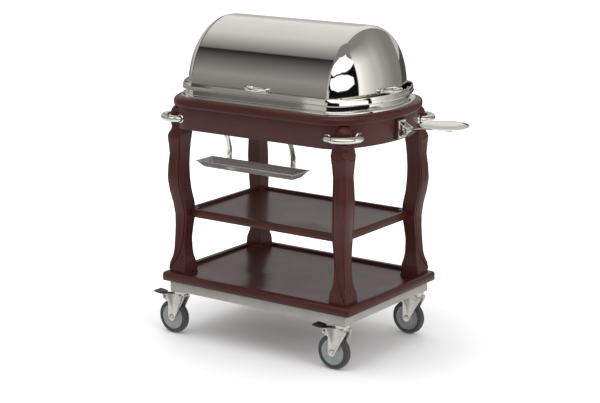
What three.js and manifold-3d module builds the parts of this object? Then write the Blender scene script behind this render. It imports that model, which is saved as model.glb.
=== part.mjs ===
// Carving trolley: a mahogany carcass on a steel underframe and four braked swivel casters, with a
// hinged barrel dome over a heated well, a slung drop tray, a folding plate holder and corner rails.
// Millimetres, +Z up, +X along the trolley towards the plate holder, -Y towards the carver.
// Pieces are placed about the middle of the deck and the whole is then centred on its footprint.
import * as THREE from 'three';
import { mergeVertices } from 'three/addons/utils/BufferGeometryUtils.js';
import Module from 'manifold-3d';

const wasm = await Module();
wasm.setup();

// ---- Fits ----
const GAP = 0.3; // between faces that rest on each other
const PIN_PLAY = 0.3; // round a pin in its hole
const OVERCUT = 5; // how far a cutting tool runs past the face that it opens
const PIN_SIDES = 16;

// ---- Deck: half length, half depth, corner radius and end radius of the D-ended outline ----
const DECK = { length: 438.6, depth: 284.5, corner: 111, end: 476 };

// ---- Boards below the deck, as far in or out from its outline as they lie ----
const BASE_HALF_X = DECK.length - 28.6;
const BASE_HALF_Y = DECK.depth + 2;
const SHELF_HALF_X = DECK.length - 95;
const SHELF_HALF_Y = DECK.depth - 60.7;
const FRAME_HALF_X = BASE_HALF_X - 24;
const FRAME_HALF_Y = BASE_HALF_Y - 18.5;

// ---- Casters ----
const WHEEL_R = 62.5;
const TYRE_HALF = 13.5;
const TYRE_DEPTH = 16.5;
const HUB_HALF = 15.2;
const AXLE_R = 5;
const CASTER_X = FRAME_HALF_X - 28;
const CASTER_Y = FRAME_HALF_Y - 27;
const CASTER_TRAIL = 34;
const FORK_SHEET = 2.8;
const FORK_TOP = 151.5;
const FORK_HALF_LENGTH = 26;
const KINGPIN_R = 6;
const RACE_R = 26;
const RACE_DEPTH = 6;
const TOP_PLATE_HALF = 27;
const TOP_PLATE_THICK = 3.5;
const BRAKE_PIN_R = 3.2;
const BRAKE_BACK = 30; // pedal pin behind the axle
const BRAKE_LIFT = 75.5; // pedal pin above the axle
const PEDAL_REACH = 50; // pedal pin to the pedal's tip
const PEDAL_HALF = 20;
const CASTER_HEIGHT = 169.5;

// ---- Underframe, base board and middle shelf ----
const FRAME_DEPTH = 39;
const FRAME_SHEET = 3;
const FRAME_FLANGE = 58;
const BASE_THICK = 32;
const BASE_EDGE_R = 9;
const BASE_RIM = 23;
const BASE_RECESS = 12;
const SHELF_BOTTOM = 446.5;
const SHELF_THICK = 29.5;
const SHELF_RIM = 12;
const SHELF_RECESS = 11.5;

// ---- Legs: share of the shaft's height, then how far each face is drawn in, in foot widths ----
const LEG_SHIFT = DECK.length - 316; // how much further along the trolley than across it each corner lies
const LEG_ARRIS = 5;
const LEG_FOOT_Z = 241;
const LEG_HEIGHT = 553;
const LEG_WIDE = 72;
const LEG_OUTER = DECK.depth - 17.5;
const LEG_CURVE = [
  { rise: 0.0000, outer: 0.0000, inner: 0.0000 },
  { rise: 0.0253, outer: 0.0000, inner: 0.0000 },
  { rise: 0.0633, outer: 0.0389, inner: 0.0278 },
  { rise: 0.1031, outer: 0.1389, inner: 0.1042 },
  { rise: 0.1447, outer: 0.1944, inner: 0.1389 },
  { rise: 0.2260, outer: 0.2319, inner: 0.1556 },
  { rise: 0.3074, outer: 0.2597, inner: 0.0931 },
  { rise: 0.3888, outer: 0.2611, inner: 0.0139 },
  { rise: 0.4684, outer: 0.1958, inner: 0.0389 },
  { rise: 0.5515, outer: 0.0792, inner: 0.1389 },
  { rise: 0.6311, outer: 0.0208, inner: 0.1806 },
  { rise: 0.7125, outer: 0.0486, inner: 0.1931 },
  { rise: 0.7939, outer: 0.1111, inner: 0.1667 },
  { rise: 0.8662, outer: 0.0833, inner: 0.1292 },
  { rise: 0.9060, outer: 0.0569, inner: 0.0861 },
  { rise: 0.9313, outer: 0.0569, inner: 0.0694 },
  { rise: 1.0000, outer: 0.1347, inner: 0.1556 },
];
const LEG_STATIONS = LEG_CURVE.map(({ rise, outer, inner }) => ({
  z: LEG_FOOT_Z + LEG_HEIGHT * rise,
  outer: LEG_OUTER - LEG_WIDE * outer,
  inner: LEG_OUTER - LEG_WIDE * (1 - inner),
}));
const HEAD_Y = DECK.depth - 52.75;
const HEAD_R = 30;
const NECK_R = 20;

// ---- Deck slab and apron ----
const DECK_TOP = 889;
const DECK_THICK = 33;
const DECK_TOP_R = 14;
const DECK_BOTTOM_R = 8;
const APRON_INSET = 10;
const APRON_DEPTH = 78;
const APRON_WALL = 21;
const CORNER_BLOCK_LENGTH = 150;
const CORNER_BLOCK_DEPTH = 66;

// ---- Well ----
const WELL = {
  length: DECK.length - 10.6,
  depth: DECK.depth - 28.5,
  corner: DECK.corner - 16,
  end: DECK.end - 106,
};
const FRAME_STEP_INSET = 18;
const FRAME_RIM_INSET = 8;
const FRAME_WALL = 3;
const FLANGE_LIP = 6;
const LEDGE_Z = 921.5;
const LEDGE_INSET = 57;
const RIM_TOP = 941;
const WELL_OPENING = 60;
const PAN_BOTTOM = 790;
const PAN_SHEET = 1.5;
const COVER_OVERLAP = 6;
const COVER_THICK = 2;
const GRAVY_HALF_X = 64;
const GRAVY_HALF_Y = WELL.depth / 2 - 59;
const GRAVY_X = WELL.length - WELL_OPENING - GRAVY_HALF_X - 69;
const GRAVY_Y = GRAVY_HALF_Y + 16;
const GRAVY_FLANGE = 9;
const BOARD_LEFT = WELL_OPENING + 73 - WELL.length;
const BOARD_RIGHT = GRAVY_X - GRAVY_HALF_X - GRAVY_FLANGE - 17;
const BOARD_X = (BOARD_LEFT + BOARD_RIGHT) / 2;
const BOARD_HALF_X = (BOARD_RIGHT - BOARD_LEFT) / 2;
const BOARD_HALF_Y = WELL.depth - 96;
const BOARD_THICK = 20;
const BOARD_LAP = 20;
const GROOVE_WIDTH = 8;
const GROOVE_DEPTH = 4;
const GROOVE_INSET = 16;
const GRAVY_DEPTH = 100;
const GRAVY_CORNER = 18;

// ---- Dome: a barrel with dished ends, turned about its own long axis ----
const DOME_R = WELL.depth - 20;
const DOME_AXIS_Z = 926;
const DOME_APEX = WELL.length - 45;
const DOME_BARREL = DOME_APEX - 93;
const DOME_SHOULDER_R = 36;
const DOME_SHOULDER_STEPS = 3;
const DOME_SHEET = 1.8;
const DOME_ARC_STEPS = 20;
const DOME_CAP_STEPS = 6;
const HINGE_X = DOME_BARREL - 100;
const HINGE_Y = WELL.depth - 4;
const HINGE_Z = 945;
const HINGE_BARREL_R = 5.5;
const HINGE_PIN_R = 3.3;
const HINGE_HALF = 20;
const HINGE_MIDDLE = 9.7;
const LEAF_SHEET = 3;
const HANDLE_R = 6.5;
const HANDLE_BOSS_R = 8;
const HANDLE_Z = RIM_TOP + HANDLE_R + 0.5;
const HANDLE_HALF = 40;
const HANDLE_REACH = 30;
const END_HANDLE_REACH = 38;

// ---- Corner rails ----
const RAIL_Z = 815;
const RAIL_R = 12;
const RAIL_FLANGE_R = 15.5;
const RAIL_FLANGE_THICK = 4;
const RAIL_FRONT_ALONG = 34; // past the middle of the deck's corner arc
const RAIL_END_ANGLE = 24;
const RAIL_STANDOFF = 15;

// ---- Drop tray ----
const TRAY_HALF_X = 215;
const TRAY_HALF_Y = 50;
const TRAY_Y = 12.5 - DECK.depth;
const TRAY_RIM_Z = 685;
const TRAY_DEPTH = 24;
const TRAY_FLARE = 18;
const TRAY_LIP = 6;
const TRAY_SHEET = 1.5;
const STRAP_X = TRAY_HALF_X - 77;
const STRAP_HALF_WIDTH = 10.5;
const STRAP_JOG = 14; // how far the strap steps back behind the apron
const STRAP_SHEET = 2.5;
const STRAP_SCREWED = 50;

// ---- Plate holder ----
const HOLDER_Z = 818;
const BLOCK_HALF_Y = 26;
const BLOCK_HALF_Z = 34;
const BLOCK_DEPTH = 8;
const PLATE_HALF_Y = 22;
const PLATE_HALF_Z = 31;
const HOLDER_PIN_R = 3.7;
const HOLDER_EAR_GAP = 14;
const HOLDER_EAR = 4;
const HOLDER_PIN_OUT = 27;
const DISH_X = DECK.length + 169.4;
const DISH_R = 84;
const DISH_Z = 836;
const DISH_DEPTH = 13;
const DISH_SHEET = 2;
const DISH_FLAT_R = 56;
const ARM_HALF_WIDTH = 9;
const ARM_SHEET = 7;

// ---- Heights that follow ----
const UNDERFRAME_BOTTOM = CASTER_HEIGHT;
const BASE_BOTTOM = UNDERFRAME_BOTTOM + FRAME_DEPTH + GAP;
const BASE_TOP = BASE_BOTTOM + BASE_THICK;
const SLAB_BOTTOM = DECK_TOP - DECK_THICK;
const APRON_TOP = SLAB_BOTTOM - GAP;
const APRON_BOTTOM = APRON_TOP - APRON_DEPTH;
const BALL_CUT = Math.PI / 3; // how far up from its middle each leg's ball is cut off level
const BALL_CENTRE = APRON_TOP - HEAD_R * Math.sin(BALL_CUT);
const COVER_Z = LEDGE_Z + GAP;
const COVER_TOP = COVER_Z + COVER_THICK;

// ---- Materials ----
const paint = (color, roughness, metalness) =>
  new THREE.MeshStandardMaterial({ color, roughness, metalness });
const wood = paint(0x4b2d2a, 0.35, 0);
const boardWood = paint(0xb98a55, 0.6, 0);
const polished = paint(0xc8c8c4, 0.08, 1);
const satin = paint(0xa5a29d, 0.4, 0.8);
const zinc = paint(0x8f9294, 0.3, 0.9);
const tyreRubber = paint(0x45484b, 0.8, 0);
const hubGrey = paint(0x8a9094, 0.5, 0.1);
const pedalBlack = paint(0x26282a, 0.6, 0.1);

// ---- Solids ----
const point = (x, y, z) => new THREE.Vector3(x, y, z);

/** Drops collapsed triangles and turns all faces outwards. */
function closed(geometry) {
  const bare = new THREE.BufferGeometry();
  bare.setAttribute('position', geometry.getAttribute('position').clone());
  if (geometry.index) {
    bare.setIndex(geometry.index.clone());
  }
  const merged = mergeVertices(bare, 1e-3);
  const place = merged.getAttribute('position');
  const corner = (i) => new THREE.Vector3().fromBufferAttribute(place, i);
  const kept = [];
  let volume = 0;
  for (let i = 0; i < merged.index.count; i += 3) {
    const [a, b, c] = [0, 1, 2].map((k) => merged.index.getX(i + k));
    if (a !== b && b !== c && c !== a) {
      kept.push([a, b, c]);
      volume += corner(a).dot(corner(b).cross(corner(c)));
    }
  }
  const faces = volume > 0 ? kept : kept.map(([a, b, c]) => [a, c, b]);
  merged.setIndex(faces.flat());
  return merged;
}

function toManifold(geometry) {
  const tidy = closed(geometry);
  const vertProperties = new Float32Array(tidy.getAttribute('position').array);
  const triVerts = new Uint32Array(tidy.index.array);
  return new wasm.Manifold(new wasm.Mesh({ numProp: 3, vertProperties, triVerts }));
}

function fromManifold(manifold) {
  const mesh = manifold.getMesh();
  const geometry = new THREE.BufferGeometry();
  geometry.setAttribute('position', new THREE.BufferAttribute(mesh.vertProperties, 3));
  geometry.setIndex(new THREE.BufferAttribute(mesh.triVerts, 1));
  return geometry;
}

const join = (...shapes) => fromManifold(shapes.map(toManifold).reduce((a, b) => a.add(b)));
const cut = (body, ...tools) =>
  fromManifold(tools.map(toManifold).reduce((left, tool) => left.subtract(tool), toManifold(body)));

/** A body through a stack of level rings {points, z} that have as many points each. */
function loft(rings) {
  const count = rings[0].points.length;
  const positions = rings.flatMap(({ points, z }) => points.flatMap((p) => [p.x, p.y, z]));
  const index = [];
  for (let i = 0; i + 1 < rings.length; i++) {
    for (let j = 0; j < count; j++) {
      const a = i * count + j;
      const b = i * count + ((j + 1) % count);
      index.push(a, b, b + count, a, b + count, a + count);
    }
  }
  const last = (rings.length - 1) * count;
  if (Math.abs(THREE.ShapeUtils.area(rings[0].points)) > 1) {
    THREE.ShapeUtils.triangulateShape(rings[0].points, []).forEach(([a, b, c]) => index.push(a, c, b));
  }
  if (Math.abs(THREE.ShapeUtils.area(rings.at(-1).points)) > 1) {
    THREE.ShapeUtils.triangulateShape(rings.at(-1).points, []).forEach(([a, b, c]) =>
      index.push(last + a, last + b, last + c));
  }
  const geometry = new THREE.BufferGeometry();
  geometry.setAttribute('position', new THREE.Float32BufferAttribute(positions, 3));
  geometry.setIndex(index);
  return geometry;
}

const box = (x0, x1, y0, y1, z0, z1) =>
  new THREE.BoxGeometry(x1 - x0, y1 - y0, z1 - z0).translate((x0 + x1) / 2, (y0 + y1) / 2, (z0 + z1) / 2);

/** A round bar between two points. */
function rod(radius, from, to, sides = 16) {
  const along = to.clone().sub(from);
  const turn = new THREE.Quaternion().setFromUnitVectors(point(0, 1, 0), along.clone().normalize());
  const middle = from.clone().add(to).multiplyScalar(0.5);
  return new THREE.CylinderGeometry(radius, radius, along.length(), sides)
    .applyQuaternion(turn)
    .translate(middle.x, middle.y, middle.z);
}

/** A profile [radius, height] turned about +Z. */
const turned = (profile, sides) =>
  new THREE.LatheGeometry(profile.map(([r, h]) => new THREE.Vector2(r, h)), sides).rotateX(Math.PI / 2);

/** A profile [radius, offset] turned about the Y axis. */
const wheelTurned = (profile, sides) =>
  new THREE.LatheGeometry(profile.map(([r, h]) => new THREE.Vector2(r, h)), sides);

function extruded(points, depth) {
  const shape = new THREE.Shape(points.map(([u, v]) => new THREE.Vector2(u, v)));
  return new THREE.ExtrudeGeometry(shape, { depth, bevelEnabled: false });
}

/** An outline of [x, z] points between two places across the trolley. */
const acrossPlate = (points, y0, y1) =>
  extruded(points, y1 - y0).rotateX(Math.PI / 2).translate(0, y1, 0);

/** An outline of [y, z] points between two places along the trolley. */
const alongPlate = (points, x0, x1) =>
  extruded(points, x1 - x0)
    .applyMatrix4(new THREE.Matrix4().makeBasis(point(0, 1, 0), point(0, 0, 1), point(1, 0, 0)))
    .translate(x0, 0, 0);

/** The outline of a strip of sheet that follows a path of [u, v] points, half its thickness each side. */
function strip(path, thickness) {
  const side = (sign) =>
    path.map(([u, v], i) => {
      const [u0, v0] = path[Math.max(i - 1, 0)];
      const [u1, v1] = path[Math.min(i + 1, path.length - 1)];
      const length = Math.hypot(u1 - u0, v1 - v0);
      const half = (sign * thickness) / 2;
      return [u - (half * (v1 - v0)) / length, v + (half * (u1 - u0)) / length];
    });
  return [...side(1), ...side(-1).reverse()];
}

/** A round tube along a smooth path. */
function tube(points, radius, steps) {
  const section = new THREE.Shape();
  section.absarc(0, 0, radius, 0, 2 * Math.PI);
  const extrudePath = new THREE.CatmullRomCurve3(points);
  return new THREE.ExtrudeGeometry(section, { extrudePath, steps, curveSegments: 4, bevelEnabled: false });
}

// ---- Outlines ----
/** Mirrors a first-quadrant run of points, from the X axis to the Y axis, into a whole outline. */
function fourfold(quadrant) {
  const flip = (list, sx, sy) => list.map((p) => new THREE.Vector2(p.x * sx, p.y * sy));
  const offAxis = quadrant.filter((p) => p.y > 0);
  return [
    ...quadrant,
    ...flip(quadrant, -1, 1).reverse(),
    ...flip(offAxis, -1, -1),
    ...flip(offAxis, 1, -1).reverse(),
  ];
}

/** Centre of the corner arc of a D-ended outline, and the angle where it meets the end arc. */
function cornerOf({ length, depth, corner, end }) {
  const y = depth - corner;
  const x = length - end + Math.sqrt((end - corner) ** 2 - y ** 2);
  return { x, y, angle: Math.atan2(y, x - (length - end)) };
}

/** The D-ended outline drawn in by an inset: two flat sides, bowed ends and round corners. */
function endedOutline(shape, inset) {
  const { x, y, angle } = cornerOf(shape);
  const endSteps = 3;
  const cornerSteps = 5;
  const quadrant = [];
  for (let i = 0; i < endSteps; i++) {
    const a = (angle * i) / endSteps;
    const r = shape.end - inset;
    quadrant.push(new THREE.Vector2(shape.length - shape.end + r * Math.cos(a), r * Math.sin(a)));
  }
  for (let i = 0; i <= cornerSteps; i++) {
    const a = angle + ((Math.PI / 2 - angle) * i) / cornerSteps;
    const r = shape.corner - inset;
    quadrant.push(new THREE.Vector2(x + r * Math.cos(a), y + r * Math.sin(a)));
  }
  return fourfold(quadrant);
}

function roundedRectangle(halfX, halfY, radius, steps = 3) {
  const quadrant = [];
  for (let i = 0; i <= steps; i++) {
    const a = (Math.PI / 2) * (i / steps);
    const x = halfX - radius + radius * Math.cos(a);
    const y = halfY - radius + radius * Math.sin(a);
    quadrant.push(new THREE.Vector2(x, y));
  }
  return fourfold(quadrant);
}

/** A body of the D-ended outline through a profile of [inset, z]. */
const stacked = (shape, profile) =>
  loft(profile.map(([inset, z]) => ({ points: endedOutline(shape, inset), z })));

/** A body of rounded rectangles through a profile of [inset, z]. */
const trayed = (halfX, halfY, radius, profile) =>
  loft(profile.map(([inset, z]) => ({
    points: roundedRectangle(halfX - inset, halfY - inset, Math.max(radius - inset, 1)),
    z,
  })));

/** A quarter-round edge as [inset, z], from the side face to the level face at z. */
function roundEdge(radius, z, up, steps) {
  return Array.from({ length: steps + 1 }, (_, i) => {
    const a = (Math.PI / 2) * (i / steps);
    return [radius * (1 - Math.cos(a)), z - up * radius * (1 - Math.sin(a))];
  });
}

// ---- The whole ----
const trolley = new THREE.Group();

function addPiece(name, geometry, material, parent = trolley) {
  const piece = new THREE.Mesh(closed(geometry), material);
  piece.name = name;
  parent.add(piece);
  return piece;
}

const CORNERS = [
  { tag: 'front_left', sx: -1, sy: -1 },
  { tag: 'front_right', sx: 1, sy: -1 },
  { tag: 'rear_left', sx: -1, sy: 1 },
  { tag: 'rear_right', sx: 1, sy: 1 },
];

// ---- Deck slab and apron ----
const deckProfile = [
  ...roundEdge(DECK_BOTTOM_R, SLAB_BOTTOM, -1, 2).reverse(),
  ...roundEdge(DECK_TOP_R, DECK_TOP, 1, 3),
];
const slab = cut(
  stacked(DECK, deckProfile),
  stacked(WELL, [[WELL_OPENING, SLAB_BOTTOM - OVERCUT], [WELL_OPENING, DECK_TOP + OVERCUT]]),
);
addPiece('deck_slab', slab, wood);

const headX = HEAD_Y + LEG_SHIFT;

function cornerBlock({ sx, sy }) {
  const corner = cornerOf(DECK);
  const turn = Math.atan2(sy * (headX - corner.x), -sx * (HEAD_Y - corner.y));
  return new THREE.BoxGeometry(CORNER_BLOCK_LENGTH, CORNER_BLOCK_DEPTH, 2 * APRON_DEPTH)
    .rotateZ(turn)
    .translate(sx * headX, sy * HEAD_Y, APRON_BOTTOM);
}

/** The room that a leg's head takes out of the apron's corner. */
function headRoom({ sx, sy }) {
  const top = LEG_STATIONS.at(-1);
  const below = LEG_STATIONS.at(-2);
  const half = (s) => (s.outer - s.inner) / 2 + 2 * GAP;
  const ring = (h) => ({ points: roundedRectangle(half(h), half(h), LEG_ARRIS, 1), z: h.z });
  const square = loft([ring(below), ring(top)]);
  const reach = HEAD_R + 2 * GAP;
  const dome = Array.from({ length: 6 }, (_, i) => {
    const a = (BALL_CUT * i) / 5;
    return [reach * Math.cos(a), BALL_CENTRE + reach * Math.sin(a)];
  });
  const above = SLAB_BOTTOM + OVERCUT;
  const round = turned([[0, top.z - OVERCUT], [reach, top.z - OVERCUT], ...dome,
    [dome.at(-1)[0], above], [0, above]], 20);
  return join(square, round).translate(sx * headX, sy * HEAD_Y, 0);
}

const apronHollow = cut(
  stacked(DECK, [[APRON_INSET + APRON_WALL, APRON_BOTTOM - OVERCUT],
    [APRON_INSET + APRON_WALL, APRON_TOP + OVERCUT]]),
  ...CORNERS.map(cornerBlock),
);
const apron = cut(
  stacked(DECK, [[APRON_INSET, APRON_BOTTOM], [APRON_INSET, APRON_TOP]]),
  apronHollow,
  ...CORNERS.map(headRoom),
);
addPiece('apron', apron, wood);

// ---- Legs ----
function legBody() {
  const ring = ({ z, outer, inner }) => {
    const b = LEG_ARRIS;
    const corners = [[inner, inner], [outer - b, inner], [outer, inner + b], [outer, outer - b],
      [outer - b, outer], [inner + b, outer], [inner, outer - b]];
    return { points: corners.map(([x, y]) => new THREE.Vector2(x + LEG_SHIFT, y)), z };
  };
  const foot = LEG_STATIONS[0];
  const stations = [{ ...foot, z: BASE_TOP + GAP }, ...LEG_STATIONS.slice(1)];
  const shaftTop = stations.at(-1).z;
  const start = -Math.acos(NECK_R / HEAD_R);
  const steps = 6;
  const ball = Array.from({ length: steps + 1 }, (_, i) => {
    const a = start + ((BALL_CUT - start) * i) / steps;
    return [HEAD_R * Math.cos(a), BALL_CENTRE + HEAD_R * Math.sin(a)];
  });
  const head = turned([[0, shaftTop - 4], [NECK_R, shaftTop - 4], ...ball, [0, APRON_TOP]], 14)
    .translate(headX, HEAD_Y, 0);
  return join(loft(stations.map(ring)), head);
}
const legGeometry = legBody();
for (const { tag, sx, sy } of CORNERS) {
  addPiece(`leg_${tag}`, legGeometry.clone().scale(sx, sy, 1), wood);
}

// ---- Middle shelf, notched round the legs ----
function cross(halfX, halfY, notchX, notchY) {
  return fourfold([
    new THREE.Vector2(halfX, 0),
    new THREE.Vector2(halfX, notchY),
    new THREE.Vector2(notchX, notchY),
    new THREE.Vector2(notchX, halfY),
  ]);
}
const shelfTop = SHELF_BOTTOM + SHELF_THICK;
const legsAtShelf = LEG_STATIONS.filter(({ z }) => Math.abs(z - shelfTop) < 45).map(({ inner }) => inner);
const shelfNotchY = Math.min(...legsAtShelf) - GAP;
const shelfNotchX = shelfNotchY + LEG_SHIFT;
const crossBody = (halfX, halfY, notchX, notchY, z0, z1) =>
  loft([z0, z1].map((z) => ({ points: cross(halfX, halfY, notchX, notchY), z })));
const shelf = cut(
  crossBody(SHELF_HALF_X, SHELF_HALF_Y, shelfNotchX, shelfNotchY, SHELF_BOTTOM, shelfTop),
  crossBody(SHELF_HALF_X - SHELF_RIM, SHELF_HALF_Y - SHELF_RIM, shelfNotchX - SHELF_RIM,
    shelfNotchY - SHELF_RIM, shelfTop - SHELF_RECESS, shelfTop + OVERCUT),
);
addPiece('middle_shelf', shelf, wood);

// ---- Base board with raised rim and corner pads under the feet ----
const padY = LEG_STATIONS[0].inner - 2;
const padX = padY + LEG_SHIFT;
const baseEdge = (z, r) => ({
  points: roundedRectangle(BASE_HALF_X - r, BASE_HALF_Y - r, BASE_EDGE_R, 2),
  z,
});
const baseBoard = cut(
  loft([
    baseEdge(BASE_BOTTOM, 0),
    ...roundEdge(BASE_EDGE_R, BASE_TOP, 1, 3).map(([inset, z]) => baseEdge(z, inset)),
  ]),
  crossBody(BASE_HALF_X - BASE_RIM, BASE_HALF_Y - BASE_RIM, padX, padY, BASE_TOP - BASE_RECESS,
    BASE_TOP + OVERCUT),
);
addPiece('base_board', baseBoard, wood);

// ---- Underframe: folded angle, its flange below and turned inwards ----
const frameTop = UNDERFRAME_BOTTOM + FRAME_DEPTH;
const centredBox = (halfX, halfY, z0, z1) => box(-halfX, halfX, -halfY, halfY, z0, z1);
const underframe = cut(
  centredBox(FRAME_HALF_X, FRAME_HALF_Y, UNDERFRAME_BOTTOM, frameTop),
  centredBox(FRAME_HALF_X - FRAME_FLANGE, FRAME_HALF_Y - FRAME_FLANGE, UNDERFRAME_BOTTOM - OVERCUT,
    frameTop + OVERCUT),
  centredBox(FRAME_HALF_X - FRAME_SHEET, FRAME_HALF_Y - FRAME_SHEET, UNDERFRAME_BOTTOM + FRAME_SHEET,
    frameTop + OVERCUT),
);
addPiece('underframe', underframe, satin);

// ---- Casters: about the kingpin, with the wheel trailing towards -X ----
const plateTop = CASTER_HEIGHT - GAP;
const plateBottom = plateTop - TOP_PLATE_THICK;
const forkBridge = FORK_TOP - 3.5;
const raceTop = FORK_TOP + RACE_DEPTH;
const cheekInner = HUB_HALF + GAP;
const cheekOuter = cheekInner + FORK_SHEET;
const axleX = -CASTER_TRAIL;
const brakeX = axleX - BRAKE_BACK;
const brakeZ = WHEEL_R + BRAKE_LIFT;
const bolt = (radius, x, z, half) => rod(radius, point(x, -half, z), point(x, half, z), 10);

const casterPlate = join(
  box(-TOP_PLATE_HALF, TOP_PLATE_HALF, -TOP_PLATE_HALF, TOP_PLATE_HALF, plateBottom, plateTop),
  rod(RACE_R, point(0, 0, raceTop + GAP), point(0, 0, plateBottom + 1), 16),
  rod(KINGPIN_R, point(0, 0, forkBridge - 10), point(0, 0, plateBottom + 1), PIN_SIDES),
  rod(KINGPIN_R + 4, point(0, 0, forkBridge - 10), point(0, 0, forkBridge - GAP), 6),
);

function forkBody() {
  const steps = 5;
  const eyeR = 3 * AXLE_R;
  const eye = Array.from({ length: steps + 1 }, (_, i) => {
    const a = (Math.PI * i) / steps;
    return [axleX + eyeR * Math.cos(a), WHEEL_R - eyeR * Math.sin(a)];
  });
  const cheek = [
    [FORK_HALF_LENGTH, FORK_TOP],
    [FORK_HALF_LENGTH, FORK_TOP - 10],
    ...eye,
    [axleX - eyeR, brakeZ - 20],
    [brakeX - 8, brakeZ - 10],
    [brakeX - 11, brakeZ + 6],
    [axleX - 4, FORK_TOP],
  ];
  const bridge = box(axleX + 4, FORK_HALF_LENGTH, -cheekOuter, cheekOuter, forkBridge, FORK_TOP);
  const race = rod(RACE_R - 1, point(0, 0, FORK_TOP - 1), point(0, 0, raceTop), 16);
  return cut(
    join(bridge, race, acrossPlate(cheek, cheekInner, cheekOuter),
      acrossPlate(cheek, -cheekOuter, -cheekInner)),
    rod(KINGPIN_R + PIN_PLAY, point(0, 0, forkBridge - OVERCUT), point(0, 0, raceTop + OVERCUT), PIN_SIDES),
    bolt(AXLE_R + PIN_PLAY, axleX, WHEEL_R, cheekOuter + OVERCUT),
    bolt(BRAKE_PIN_R + PIN_PLAY, brakeX, brakeZ, cheekOuter + OVERCUT),
  );
}

const hubR = WHEEL_R - TYRE_DEPTH;
const hubProfile = [
  [AXLE_R + PIN_PLAY, -HUB_HALF], [3 * AXLE_R, -HUB_HALF], [hubR - 6, -TYRE_HALF / 2],
  [hubR - GAP, -TYRE_HALF + 1], [hubR - GAP, TYRE_HALF - 1], [hubR - 6, TYRE_HALF / 2],
  [3 * AXLE_R, HUB_HALF], [AXLE_R + PIN_PLAY, HUB_HALF], [AXLE_R + PIN_PLAY, -HUB_HALF],
];
const shoulderR = WHEEL_R - TYRE_HALF / 2;
const tyreProfile = [
  [hubR, -TYRE_HALF + 1], [shoulderR, -TYRE_HALF], [WHEEL_R - 2, -TYRE_HALF + 3],
  [WHEEL_R, -TYRE_HALF / 2], [WHEEL_R, TYRE_HALF / 2], [WHEEL_R - 2, TYRE_HALF - 3],
  [shoulderR, TYRE_HALF], [hubR, TYRE_HALF - 1], [hubR, -TYRE_HALF + 1],
];
const axleHead = 6;
const axleProfile = [
  [0, -cheekOuter - axleHead], [1.8 * AXLE_R, -cheekOuter - axleHead], [1.8 * AXLE_R, -cheekOuter - GAP],
  [AXLE_R, -cheekOuter - GAP], [AXLE_R, cheekOuter + GAP], [1.8 * AXLE_R, cheekOuter + GAP],
  [1.8 * AXLE_R, cheekOuter + axleHead], [0, cheekOuter + axleHead],
];

function pedalBody() {
  const tipX = brakeX - PEDAL_REACH;
  const sleeve = bolt(2 * BRAKE_PIN_R, brakeX, brakeZ, cheekInner - GAP);
  const pin = bolt(BRAKE_PIN_R, brakeX, brakeZ, cheekOuter + 1.5);
  const cam = box(brakeX - 4, brakeX + 6, -PEDAL_HALF / 2, PEDAL_HALF / 2, brakeZ - 17, brakeZ);
  const stem = strip([[brakeX, brakeZ + 2], [brakeX - 18, brakeZ + 8], [brakeX - 24, brakeZ + 9]], 4);
  const tread = strip([[brakeX - 17, brakeZ + 8], [tipX, brakeZ + 12]], 5);
  return join(sleeve, pin, cam, acrossPlate(stem, -cheekInner + 1, cheekInner - 1),
    acrossPlate(tread, -PEDAL_HALF, PEDAL_HALF));
}

const forkGeometry = forkBody();
const pedalGeometry = pedalBody();
const onAxle = (profile, sides) => wheelTurned(profile, sides).translate(axleX, 0, WHEEL_R);
for (const { tag, sx, sy } of CORNERS) {
  const caster = new THREE.Group();
  caster.position.set(sx * CASTER_X, sy * CASTER_Y, 0);
  trolley.add(caster);
  addPiece(`caster_plate_${tag}`, casterPlate.clone(), zinc, caster);
  addPiece(`caster_fork_${tag}`, forkGeometry.clone(), zinc, caster);
  addPiece(`wheel_hub_${tag}`, onAxle(hubProfile, 24), hubGrey, caster);
  addPiece(`wheel_tyre_${tag}`, onAxle(tyreProfile, 24), tyreRubber, caster);
  addPiece(`wheel_axle_${tag}`, onAxle(axleProfile, 10), zinc, caster);
  addPiece(`brake_pedal_${tag}`, pedalGeometry.clone(), pedalBlack, caster);
}

// ---- Corner rails, bowed clear of the leg heads ----
function railBody() {
  const corner = cornerOf(DECK);
  const apronR = DECK.corner - APRON_INSET;
  const frontX = corner.x + RAIL_FRONT_ALONG;
  const frontA = Math.acos(RAIL_FRONT_ALONG / apronR);
  const endA = THREE.MathUtils.degToRad(RAIL_END_ANGLE);
  const endR = DECK.end - APRON_INSET;
  const endCentre = DECK.length - DECK.end;
  const front = { x: frontX, y: corner.y + apronR * Math.sin(frontA), nx: 0, ny: 1 };
  const side = {
    x: endCentre + endR * Math.cos(endA),
    y: endR * Math.sin(endA),
    nx: Math.cos(endA),
    ny: Math.sin(endA),
  };
  const off = (f, d) => point(f.x + f.nx * d, f.y + f.ny * d, RAIL_Z);
  const bow = RAIL_STANDOFF + HEAD_R + RAIL_R;
  const path = [
    off(front, RAIL_FLANGE_THICK), off(front, RAIL_STANDOFF * 0.7),
    point(frontX + RAIL_STANDOFF, front.y + RAIL_STANDOFF, RAIL_Z),
    point(headX, HEAD_Y + bow, RAIL_Z), point(headX + bow * 0.72, HEAD_Y + bow * 0.64, RAIL_Z),
    point(headX + bow, HEAD_Y - RAIL_STANDOFF / 2, RAIL_Z),
    off(side, RAIL_STANDOFF), off(side, RAIL_FLANGE_THICK),
  ];
  const flange = (f, inner) => rod(RAIL_FLANGE_R, off(f, inner), off(f, RAIL_FLANGE_THICK + 1), 12);
  const skin = stacked(DECK, [[APRON_INSET - GAP, APRON_BOTTOM], [APRON_INSET - GAP, APRON_TOP]]);
  return cut(join(tube(path, RAIL_R, 16), flange(front, -3), flange(side, -3)), skin);
}
const railGeometry = railBody();
for (const { tag, sx, sy } of CORNERS) {
  addPiece(`corner_rail_${tag}`, railGeometry.clone().scale(sx, sy, 1), polished);
}

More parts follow.
